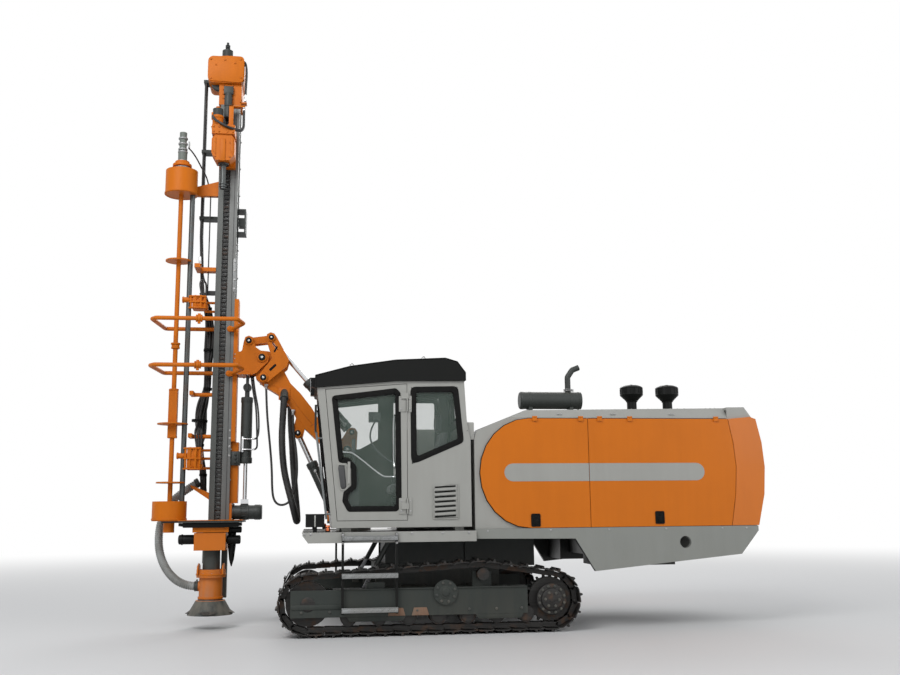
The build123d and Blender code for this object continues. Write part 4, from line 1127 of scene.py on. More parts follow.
class RIG_OT_cab(bpy.types.Operator):
    """Window bands, door handle, hinges, vent, wiper, rails and roof trim of the cab"""
    bl_idname = "rig.cab"
    bl_label = "Cab details"

    def execute(self, context):
        door, near = Part(), Part()
        line = rounded(DOOR_GLASS, 34)
        band(door, shifted(line, -8), shifted(line, 46), CAB_NEAR - 3, CAB_NEAR + 15)
        place(door, "door_window_band", "cab_door", "rubber_seal", "black_paint", 1)
        band(near, rounded(shifted(SIDE_GLASS, -8), 60), rounded(shifted(SIDE_GLASS, 50), 26), CAB_NEAR - 3,
                CAB_NEAR + 15)
        band(near, rounded(shifted(RIGHT_GLASS, -8), 60), rounded(shifted(RIGHT_GLASS, 44), 26),
                CAB_FAR - 15, CAB_FAR + 3)
        place(near, "side_window_bands", "base", "rubber_seal", "black_paint", 1)
        p = Part()
        for z0, z1, x_at, y0, y1 in ((1180, 2330, cab_front, -1080, -220),
                (2120, 2400, lambda z: 40 + (2477 - z) * 22 / 396, -1000, -300)):
            out = 1 if x_at(1500) > -500 else -1
            for lo, hi, a, b in ((z0 - 8, z0 + 40, y0 - 8, y1 + 8), (z1 - 40, z1 + 8, y0 - 8, y1 + 8),
                    (z0, z1, y0 - 8, y0 + 40), (z0, z1, y1 - 40, y1 + 8)):
                p.loft([[(x_at(z) + out * 3, y, z),
                        (x_at(z) - out * 15, y, z)] + [(x_at(w) - out * 15, y, w),
                        (x_at(w) + out * 3, y, w)] for y in (a, b) for z, w in ((lo, hi),)])
        place(p, "front_and_rear_window_bands", "base", "rubber_seal", "black_paint", 0)

        p = Part()
        band(p, rounded([(-1236, 1650), (-1148, 1646), (-1100, 1590), (-1098, 1440), (-1150, 1385),
                (-1200, 1384)], 20),
                rounded([(-1222, 1634), (-1156, 1630), (-1116, 1582), (-1114, 1448), (-1158, 1400),
                (-1190, 1400)], 16), CAB_NEAR - 8, CAB_NEAR + 4)
        place(p, "handle_rim", "cab_door", "light_grey_paint", "light_grey_paint", 2)
        p = Part().plate(rounded([(-1226, 1622), (-1166, 1616), (-1150, 1412), (-1196, 1408)], 22),
                CAB_NEAR - 20, CAB_NEAR - 4)
        p.plate(rounded([(-1230, 1632), (-1160, 1628), (-1138, 1404), (-1200, 1398)], 18), CAB_NEAR - 2,
                CAB_NEAR + 1)
        place(p, "door_handle", "cab_door", "cab_plastic", "black_paint", 4)
        door_leaf, cab_leaf, screws_door, screws_cab = Part(), Part(), [], []
        for z0, z1 in ((2160, 2318), (1150, 1308)):
            door_leaf.plate(rounded([(-624, z0), (-552, z0), (-552, z1), (-624, z1)], 8), CAB_NEAR - 7,
                    CAB_NEAR)
            cab_leaf.plate(rounded([(-526, z0 - 4), (-496, z0 - 4), (-496, z1 + 4), (-526, z1 + 4)], 8),
                    CAB_NEAR - 10, CAB_NEAR)
            door_leaf.turned((-540, CAB_NEAR - 13, z0 + 4), (0, 0, 1), [(0, 8), (z1 - z0 - 8, 8)], 16)
            screws_door += [((-600, CAB_NEAR - 7, z), (0, -1, 0)) for z in (z0 + 30, z1 - 30)]
            screws_cab += [((-511, CAB_NEAR - 10, z), (0, -1, 0)) for z in (z0 + 30, z1 - 30)]
        place(door_leaf, "door_hinge_leaves", "cab_door", "light_grey_paint",
                "light_grey_paint", 1.5)
        place(cab_leaf, "cab_hinge_leaves", "base", "light_grey_paint", "light_grey_paint",
                1.5)
        bolts("door_hinge_screws", "cab_door", screws_door, 7, 4)
        bolts("cab_hinge_screws", "base", screws_cab, 7, 4)

        p = Part()
        frame_line = rounded([(-292, 1096), (-26, 1096), (-26, 1446), (-120, 1446), (-292, 1408)], 26)
        band(p, frame_line, shifted(frame_line, 10), CAB_NEAR - 9, CAB_NEAR - 2)
        p.turned((-66, CAB_NEAR - 6, 1298), (0, -1, 0), [(0, 15), (8, 15), (11, 10)], 20)
        place(p, "vent_rim", "base", "light_grey_paint", "light_grey_paint", 1.5)
        gaps = [((-165, CAB_NEAR - 13.2, 1128 + 48 * k), (0, -1, 0), (1, 0, 0.055)) for k in range(7)]
        gap = Part().loft([[(x, -7, 0), (x, 7, 0), (x, 7, 1.2), (x, -7, 1.2)] for x in (-104,
                104)]).mesh("gap")
        repeated("vent_gaps", "base", "rubber_seal", "black_paint", gap, gaps, angle=20)

        filler = Part().block(66, 138, -1128, -880, 1884, 2056).block(66, 138, -1100, -1092, 2056, 2062)
        place(filler, "cab_duct", "base", "light_grey_paint", "light_grey_paint", 6)
        place(Part().block(58, 74, -1146, -1126, 1950, 1976).bar((66, -1128, 1963), (66, -1150, 1975),
                7), "duct_latch", "base", "cab_plastic", "black_paint", 2)

        wiper = Part()
        wiper.tube([(cab_front(1230) - 18, -650, 1230), (cab_front(1600) - 30, -640, 1600),
                (cab_front(2000) - 12, -560, 2000)], 7, 8)
        wiper.tube([(cab_front(1640) - 10, -645, 1640), (cab_front(2240) - 10, -500, 2240)], 6, 8)
        wiper.block(cab_front(1230) - 30, cab_front(1230), -690, -610, 1190, 1260)
        place(wiper, "windscreen_wiper", "base", "rubber_seal", "black_paint", 1)

        rails = Part()
        rails.tube([(-1200, -1105, 1763), (-1130, -1080, 1763), (-1070, -1080, 1757), (-790, -1080, 1526),
                (-740, -1080, 1520), (-655, -1080, 1520), (-640, -1105, 1520)], 11, 10)
        rails.tube([(-660, -1105, 2130), (-668, -1070, 2120), (-668, -1070, 1620), (-660, -1105, 1605)],
                12, 10)
        place(rails, "door_grab_rails", "cab_door", "cylinder_rod", "light_grey_paint", 0)

        trim = Part()
        roof = [(-1452, 2398.6), (-1452, 2520), (-1111, 2612), (-655, 2680), (-151, 2705), (-30, 2670),
                (52, 2560), (52, 2477)]
        for y in (-1169, -131):
            trim.tube([(x, y, z) for x, z in roof], 6, 8, straight=True)
            trim.tube([(-1452, y, 2402), (-1436, y, 2402), (-650, y, 2472), (50, y, 2479)], 6, 8,
                    straight=True)
        trim.tube([(-1452, -1160, 2404), (-1452, -140, 2404)], 7, 8, straight=True)
        trim.tube([(-1452, -1160, 2517), (-1452, -140, 2517)], 7, 8, straight=True)
        place(trim, "roof_edge_trim", "base", "black_paint", "black_paint", 0)
        eyes = Part()
        for x, top in ((-1090, 2616), (-360, 2694)):
            for y in (-1040, -260):
                eyes.ring((x, y, top + 26), (0, 1, 0), 17, 5, 24, 8)
                eyes.turned((x, y, top - 6), (0, 0, 1), [(0, 17), (8, 17), (10, 9), (16, 8)], 16)
        ring = place(eyes, "roof_lifting_rings", "base", "pin_steel", "dark_metal", 0)
        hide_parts("cab_lifting_eyes")
        pane = Part()
        for z in (1240,):
            pane.tube([(-1452, -1158, 2460), (-1300, -1158, 2466)], 3, 6, straight=True)
        place(pane, "roof_bead", "base", "black_paint", "black_paint", 0)

        glow, boxes, bars = Part(), Part(), Part()
        for side in (-1, 1):
            y0, y1 = sorted((side * 1043, side * 1157))
            glow.block(-1534, -1529, y0, y1, 1042, 1152)
            boxes.block(-1534, -1346, y0 - 4, y1 + 4, 1150, 1162)
            boxes.block(-1530, -1526, y0 - 3, y1 + 3, 1035, 1046)
            near_face = side * 1161
            bars.block(-1448, -1434, near_face - side * 2, near_face + side * 2, 1038, 1148)
            m0, m1 = sorted((side * 1161, side * 1117))
            boxes.block(-1342, -1294, m0, m1, 985, 1000)
            mark = Part().turned((-1318, side * 1138, 1000), (0, 0, 1),
                    [(0, 25), (26, 25), (32, 22), (40, 26), (52, 20), (54, 6)], 20)
            place(mark, f"marker_lamp_{'left' if side < 0 else 'right'}", "base",
                    "marker_lens", "orange_paint", 0)
        for y in (-1040, -320):
            glow.block(-1503, -1499, y - 54, y + 54, 2418, 2494)
            boxes.block(-1506, -1440, y - 64, y + 64, 2496, 2504)
        place(glow, "lamp_lenses", "base", "lamp_lens", "light_grey_paint", 1)
        place(boxes, "lamp_hoods", "base", "black_paint", "black_paint", 1.5)
        place(bars, "lamp_bars", "base", "light_grey_paint", "light_grey_paint", 1)
        return {"FINISHED"}


# Corners of the pads' outlines from above: the cushion in half widths, the others in millimetres
CUSHION_CORNERS = ((-1, -0.92), (-0.9, -1), (0.9, -1), (1, -0.92), (1, 0.92), (0.9, 1), (-0.9, 1), (-1, 0.92))
BACK_CORNERS = ((0, -848), (18, -866), (62, -868), (80, -850), (80, -450), (62, -432), (18, -434), (0, -452))
HEADREST_CORNERS = ((-34, -88), (-24, -104), (24, -104), (34, -88), (34, 88), (24, 104), (-24, 104), (-34, 88))
SEAT_Y = -650


class RIG_OT_cab_inside(bpy.types.Operator):
    """Padded seat, levers, screen and floor mat inside the cab"""
    bl_idname = "rig.cab_inside"
    bl_label = "Cab inside"

    def cushion(self, name, rings, fill):
        """Crowned pad from rings of points, subdivided and relaxed."""
        data = Part().loft(rings).mesh(name)
        rough = bpy.data.objects.new(name + "_form", data)
        bpy.context.scene.collection.objects.link(rough)
        soft = rough.modifiers.new("Edges", "BEVEL")
        soft.width, soft.segments = 0.028, 3
        smooth = rough.modifiers.new("Smooth", "SUBSURF")
        smooth.levels = smooth.render_levels = 2
        piece = dressed(baked(rough, name), "base", "seat_fabric", "seat_fabric", 180)
        return piece

    def execute(self, context):
        seat = [[(-450 + hx * px, SEAT_Y + hy * py, z) for px, py in CUSHION_CORNERS]
                for z, hx, hy in ((1352, 225, 232), (1385, 246, 250), (1440, 240, 246), (1470, 185, 190))]
        self.cushion("seat_cushion", seat, 0.8)
        back = [[(-246 + k * 0.167 + dx, y, 1482 + k) for dx, y in BACK_CORNERS]
                for k in (0, 60, 260, 440, 500)]
        for ring, grow in zip(back, (0.86, 1.0, 1.03, 0.97, 0.8)):
            cx, cy = sum(p[0] for p in ring) / 8, SEAT_Y
            for i, (x, y, z) in enumerate(ring):
                ring[i] = (cx + (x - cx) * grow, cy + (y - cy) * grow, z)
        self.cushion("seat_back", back, 0.8)
        head = [[(-168 + dx * s, SEAT_Y + dy * s, z) for dx, dy in HEADREST_CORNERS]
                for z, s in ((2012, 0.8), (2050, 1.0), (2130, 1.02), (2170, 0.8))]
        self.cushion("seat_headrest", head, 0.8)
        p = Part().block(-600, -290, -800, -500, 1064, 1120).block(-560, -330, -760, -540, 1120, 1200)
        for k in range(6):
            p.block(-575 + k * 2, -315 - k * 2, -775 + k, -525 - k, 1200 + 20 * k, 1212 + 20 * k)
        p.block(-640, -240, -850, -450, 1320, 1350)
        for y in (-700, -600):
            p.bar((-170, y, 1970), (-164, y, 2030), 7, 10)
        for y in (-885, -425):
            p.block(-470, -200, y - 12, y + 12, 1600, 1640).block(-230, -200, y - 8, y + 8, 1450, 1610)
        stand = place(p, "seat_stand", "base", "cab_plastic", "cab_plastic", 3)
        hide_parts("operator_seat")
        p = Part()
        for y in (-885, -425):
            p.block(-500, -420, y - 34, y + 34, 1560, 1660)
            p.turned((-460, y, 1660), (-0.1, 0, 1),
                    [(0, 30), (16, 26), (20, 10), (120, 8), (124, 17), (150, 22), (180, 20), (196, 8)], 16)
        p.block(-912, -792, -925, -895, 2075, 2180)
        p.tube([(-850, -910, 2078), (-905, -905, 1980), (-880, -890, 1850), (-780, -880, 1740),
                (-640, -882, 1650), (-460, -885, 1626)], 9, 8)
        place(p, "control_levers", "base", "cab_plastic", "cab_plastic", 2)
        place(Part().block(-905, -799, -929, -924, 2083, 2172), "control_display", "base",
                "display", "black_paint", 1)
        place(Part().level([(-1220, -1100), (40, -1100), (40, -200), (-1220, -200)], 1064,
                1070), "floor_mat", "base", "rubber_seal", "black_paint", 0)
        # dark sheet on the cab's far side, painted as the shade inside the cab
        p = Part().plate([(-1290, 1072), (-1290, 1800), (-961, 1850), (-769, 1955), (-769, 2436),
                (-600, 2436), (-600, 1072)], -212, -200)
        place(p, "cab_side_lining", "base", "cab_lining", "cab_plastic", 3)
        return {"FINISHED"}


# Deck and ladders
class RIG_OT_deck(bpy.types.Operator):
    """Ladder treads, deck plates and the bolts of the deck"""
    bl_idname = "rig.deck"
    bl_label = "Deck and ladders"

    def execute(self, context):
        treads, spots, teeth = Part(), [], []
        for side in (-1, 1):
            for z in (900, 545, 225):
                y0, y1 = sorted((side * 1222, side * 1269))
                treads.block(-1182, -642, y0, y1, z + 43, z + 48)
                treads.block(-1182, -642, side * 1269 - 1.0, side * 1269 + 0.8, z + 4, z + 44)
                teeth += [((-1172 + 20 * k, side * 1246, z + 48), (0, 0, 1), (1, 0, 0)) for k in range(27)]
            for x in (-1172, -652):
                spots += [((x, side * 1226, z), (0, side, 0)) for z in (880, 960)]
            for x in (-1540, -1480, -500, -200, 60):
                spots.append(((x, side * 1200, 968), (0, side, 0)))
        place(treads, "ladder_treads", "base", "mast_metal", "grey_paint", 1)
        tooth = Part().turned((0, 0, 0), (0, 0, 1), [(0, 7), (3, 5), (3.2, 2)], 8).mesh("tooth")
        repeated("tread_studs", "base", "mast_metal", "grey_paint", tooth, teeth)
        bolts("deck_bolts", "base", spots, 10, 8)
        plates, studs = Part(), []
        for x0, x1, y0, y1 in ((-1555, -1000, 420, 1190), (-1555, -1310, -1030, 100),
                (-560, 130, 1140, 1195)):
            plates.block(x0, x1, y0, y1, 985, 989)
        place(plates, "deck_plates", "base", "dark_metal", "dark_metal", 1)
        for i in range(26):
            for j in range(36):
                x, y = -1548 + 21 * i, 428 + 21 * j
                if x < -1008 and y < 1184:
                    studs.append(((x, y, 989), (0, 0, 1), (1, 1 if (i + j) % 2 else -1, 0)))
        stud = Part().loft([[(x, -2.2, 0), (x, 2.2, 0), (x * 0.8, 0, 2.0)] for x in (-8, 8)]).mesh("stud")
        repeated("deck_tread", "base", "dark_metal", "dark_metal", stud, studs, angle=20)
        return {"FINISHED"}


# Hoses
SUCTION_ROUTE = [(-2640.3, -50, 430), (-2790, -50, 430), (-2990, 60, 580), (-3100, 170, 820),
        (-3095, 240, 1120), (-2960, 255, 1370), (-2700, 255, 1520)]
DUST_ROUTE = [(-1790, 112, 2490), (-1790, 10, 2394), (-1798, -44, 2200), (-1806, -54, 1960),
        (-1778, -56, 1640), (-1722, -55, 1420), (-1680, -54, 1276), (-1650, 14, 1158), (-1634, 132, 1090),
        (-1628, 268, 1090), (-1632, 386, 1158), (-1642, 454, 1276), (-1658, 456, 1430),
        (-1682, 452, 1660), (-1702, 446, 1960), (-1720, 440, 2180), (-1722, 386, 2348), (-1722, 288, 2440)]
LOOP_ROUTE = [(-1690, 96, 2275), (-1690, 92, 2090), (-1646, 48, 1850), (-1632, 42, 1620),
        (-1650, 40, 1430), (-1688, 39, 1325), (-1752, 38, 1266), (-1828, 37, 1262),
        (-1880, 38, 1315), (-1900, 40, 1420), (-1908, 42, 1660), (-1932, 50, 1900),
        (-1960, 62, 2130), (-1980, 88, 2340), (-1990, 98, 2560)]


def nurbs_line(name, route):
    """Curve of one NURBS spline with the route as its control points."""
    data = bpy.data.curves.new(name, "CURVE")
    data.dimensions = "3D"
    spline = data.splines.new("NURBS")
    spline.points.add(len(route) - 1)
    for point, place in zip(spline.points, route):
        point.co = (*(Vector(place) * MM), 1)
    spline.order_u = 3
    spline.use_endpoint_u = True
    spline.resolution_u = 12
    line = bpy.data.objects.new(name, data)
    bpy.context.scene.collection.objects.link(line)
    return line


def line_points(line):
    """Points along the curve's own line, in metres."""
    bpy.context.view_layer.update()
    graph = bpy.context.evaluated_depsgraph_get()
    data = bpy.data.meshes.new_from_object(line.evaluated_get(graph))
    points = [tuple(v.co) for v in data.vertices]
    bpy.data.meshes.remove(data)
    return points


def hose(name, route, radius, body, rib=None, material="hose_rubber", replaces=None):
    """Free hose on a smooth line through the route; rib is (height, spacing) of its ribs in millimetres."""
    line = nurbs_line(name + "_line", route)
    path = line_points(line)
    if rib:
        piece = run_tree(line, name, tree("ribbed"), Radius=radius * MM, Rib_height=rib[0] * MM,
                Rib_spacing=rib[1] * MM, Finish=finish(material))
    else:
        line.data.bevel_depth = radius * MM
        line.data.bevel_resolution = 4
        line.data.use_fill_caps = True
        piece = baked(line, name)
    dressed(piece, body, material, "dust_hose" if material == "dust_hose" else "hose_rubber", 60)
    if replaces:
        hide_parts(replaces)
    run = sum(math.dist(a, b) for a, b in zip(path, path[1:]))
    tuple(path[0])
    return piece


def fitting(part, at, way, r, size=1.0):
    """Hose end with its hexagon nut and collar, pointing along way."""
    part.turned(at, way, [(0, r * 1.05), (34 * size, r * 1.05), (36 * size, r * 0.9),
            (52 * size, r * 0.9)], 16)
    at = Vector(at) + Vector(way).normalized() * 52 * size
    part.turned(at, way, [(0, r * 1.25), (24 * size, r * 1.25), (26 * size, r)], 6)


class RIG_OT_hoses(bpy.types.Operator):
    """Ribbed suction hose, and the hoses that hang from the boom with their brackets"""
    bl_idname = "rig.hoses"
    bl_label = "Free hoses"

    def execute(self, context):
        wanted = settings().hoses
        hose("ribbed_suction_hose", SUCTION_ROUTE, wanted.suction * 500, "mast",
                (7, wanted.rib * 1000), "dust_hose", "suction_hose")
        hose("boom_dust_hose", DUST_ROUTE, 38, "boom", (4, 14))
        hose("boom_hose_loop", LOOP_ROUTE, 12, "boom")
        clamps, brackets, ends = Part(), Part(), Part()
        for at, way in (((-2640, -50, 430), (-1, 0, 0)), ((-2700, 255, 1520), (-1, 0, -0.55))):
            start = Vector(at)
            clamps.turned(start - Vector(way).normalized() * 4, way, [(0, 50), (44, 50)], 28)
            for along in (10, 30):
                clamps.ring(start + Vector(way).normalized() * along, way, 50, 4)
        clamps.block(-2668, -2652, -14, 12, 464, 496)
        place(clamps, "suction_hose_clamps", "mast", "dark_metal", "dark_metal", 1.5)
        for (x, y, z), out in (((-1790, 115, 2490), -1), ((-1722, 285, 2440), 1)):
            y0, y1 = sorted((y - out * 4, y + out * 12))
            brackets.block(x - 62, x + 62, y0, y1, z - 74, z + 62)
            way = Vector((0, out, -0.94)).normalized()
            ends.turned(Vector((x, y, z)) - way * 26, way,
                    [(0, 44), (96, 44), (98, 41), (104, 41), (106, 48), (130, 48), (132, 41)], 32)
        place(brackets, "hose_brackets", "boom", "mast_orange", "orange_paint", 2)
        place(ends, "dust_hose_ends", "boom", "dark_metal", "dark_metal", 1.5)
        small = Part()
        for x, y, z in ((-1690, 96, 2275), (-1990, 98, 2560)):
            fitting(small, (x, y, z - 30), (0, 0, 1), 14, 0.6)
            small.block(x - 20, x + 20, y - 12, 118, z + 12, z + 30)
        place(small, "hose_loop_ends", "boom", "pin_steel", "dark_metal", 1)
        return {"FINISHED"}


# Boom linkage
LIFT_FOOT, LIFT_TOP, TILT_FOOT, TILT_TOP = (-1210, 1150), (-1634, 2049), (-1040, 2056), (-1941, 3106)
PINS = (("holder", (-2190, 3073), 68, 324, 33), ("boom", (-2042, 2887), 68, 332, 38),
        ("tilt_lever", TILT_TOP, 26, 374, 30), ("boom", (-2021, 2655), 30, 370, 34),
        ("boom", TILT_FOOT, 100, 300, 28), ("boom", LIFT_TOP, 100, 300, 32),
        ("swing", (-1090, 1860), 58, 342, 44), ("swing", LIFT_FOOT, 66, 334, 30))


class RIG_OT_boom(bpy.types.Operator):
    """Pin heads, boss rings, weld lines and slots of the boom linkage, and its cylinders' fittings"""
    bl_idname = "rig.boom"
    bl_label = "Boom details"

    def execute(self, context):
        heads, cores, bosses = {}, {}, {}
        for body, (x, z), y0, y1, r in PINS:
            head = heads.setdefault(body, Part())
            core = cores.setdefault(body, Part())
            boss = bosses.setdefault(body, Part())
            for y, out in ((y0, -1), (y1, 1)):
                boss.turned((x, y + out * -6, z), (0, out, 0),
                        [(0, r * 1.45), (7, r * 1.45), (10, r * 1.34)], 36)
                head.turned((x, y + out * -4, z), (0, out, 0),
                        [(0, r), (15, r), (18, r * 0.86), (18, r * 0.5), (12, r * 0.45)], 32)
                core.turned((x, y, z), (0, out, 0), [(0, r * 0.42), (14, r * 0.42), (18, r * 0.3)], 20)
        for body in heads:
            place(bosses[body], f"pin_bosses_{body}", body, "mast_orange", "orange_paint", 1)
            place(heads[body], f"pin_heads_{body}", body, "black_paint", "dark_metal", 1)
            place(cores[body], f"pin_ends_{body}", body, "cylinder_rod", "cylinder_rod", 0.6)

        welds, slots = Part(), Part()
        for y in (114.5, 285.5):
            for line in (((-2000, 2560), (-1880, 2600), (-1760, 2440), (-1660, 2290)),
                    ((-1800, 2560), (-1700, 2430), (-1560, 2230), (-1440, 2110)),
                    ((-1500, 2120), (-1420, 2200), (-1280, 2070), (-1160, 1960)),
                    ((-1640, 2215), (-1560, 2120))):
                welds.tube([(x, y, z) for x, z in line], 3.2, 6, 5)
        place(welds, "boom_welds", "boom", "mast_orange", "orange_paint", 0, 60)
        for y0, y1 in ((42, 46), (354, 358)):
            for (ax, az), (bx, bz), r in (((-1945, 2745), (-1895, 2795), 13),
                    ((-1905, 2950), (-1880, 3000), 9)):
                d = Vector((bx - ax, bz - az)).normalized()
                n = Vector((-d.y, d.x))
                line = []
                for end, turn in (((bx, bz), -0.5), ((ax, az), 0.5)):
                    for k in range(9):
                        t = math.pi * (k / 8 + turn)
                        line.append(Vector(end) + (d * math.cos(t) + n * math.sin(t)) * r)
                slots.plate([tuple(p) for p in line], y0, y1)
        place(slots, "lever_slots", "tilt_lever", "rubber_seal", "black_paint", 0)

        for body, a, b, at, r in (("lift_barrel", LIFT_FOOT, LIFT_TOP, 640, 58),
                ("tilt_barrel", TILT_FOOT, TILT_TOP, 770, 58)):
            way = Vector((b[0] - a[0], 0, b[1] - a[1])).normalized()
            end = Vector((a[0], 200, a[1])) + way * at
            p = Part()
            p.turned(end - way * 60, way, [(0, 59), (2, 64), (56, 64), (60, 58), (66, 46), (66, 34),
                    (60, 33)], 36)
            p.turned(end - way * (at - 130), way, [(0, 59), (2, 63), (30, 63), (32, 59)], 36)
            q = Part()
            side = Vector((0, -1, 0))
            for k in (120, at - 110):
                base = Vector((a[0], 200, a[1])) + way * k + side * 52
                q.turned(base, side, [(0, 20), (14, 20), (16, 16), (26, 16)], 16)
            q.bar(Vector((a[0], 134, a[1])) + way * 130, Vector((a[0], 134, a[1])) + way * (at - 120), 7,
                    10)
            place(q, f"{body}_ports", body, "pin_steel", "dark_metal", 1)
            place(p, f"{body}_gland", body, "dark_metal", "dark_metal", 1)

        q = Part()
        q.turned((-2200, 200, 2392), (0, 0, 1), [(0, 62.5), (2, 66), (54, 66), (60, 60)], 36)
        q.turned((-2200, 200, 1722), (0, 0, 1), [(0, 62.5), (2, 70), (60, 70), (64, 62.5)], 36)
        place(q, "slide_cylinder_rings", "holder", "dark_metal", "dark_metal", 1)
        q = Part()
        q.block(-2244, -2222, 128, 140, 1840, 2010)
        for z in (1870, 1985):
            q.bar((-2240, 128, z), (-2130, 128, z), 7, 12)
            fitting(q, (-2140, 128, z), (1, 0, 0), 9, 0.5)
        place(q, "slide_cylinder_ports", "holder", "cylinder_rod", "cylinder_rod", 1)
        for k, z in enumerate((1870, 1985)):
            p = Part().tube([(-2105, 128, z), (-2074, 128, z + 4), (-2078 + 20 * k, 134, z + 110),
                    (-2094 + 20 * k, 150, 2330), (-2138 + 20 * k, 170, 2520),
                    (-2160 + 20 * k, 180, 2690)], 10, 12)
            place(p, f"slide_cylinder_hose_{k}", "holder", "hose_rubber", "hose_rubber", 0, 60)
        spots = [((-2250 + 55 * k, y, 2690), (0, 0, -1)) for k in range(2) for y in (64, 336)]
        spots += [((-2335 - 0.5, y, z), (-1, 0, 0)) for y in (86, 314) for z in (2730, 2800, 2870, 2920)]
        bolts("holder_bolts", "holder", spots, 9, 8)
        return {"FINISHED"}


# Mast
BEAM_FRONT = -2575.0
DRILL_AT, POLE_AT, HEAD_MOTOR_AT = (-2513.0, -50.0), (-2965, -50), (-2590, -60)
HOOPS, GRIPPERS = (3225, 2725), ((3390, 3540), (1640, 1880))


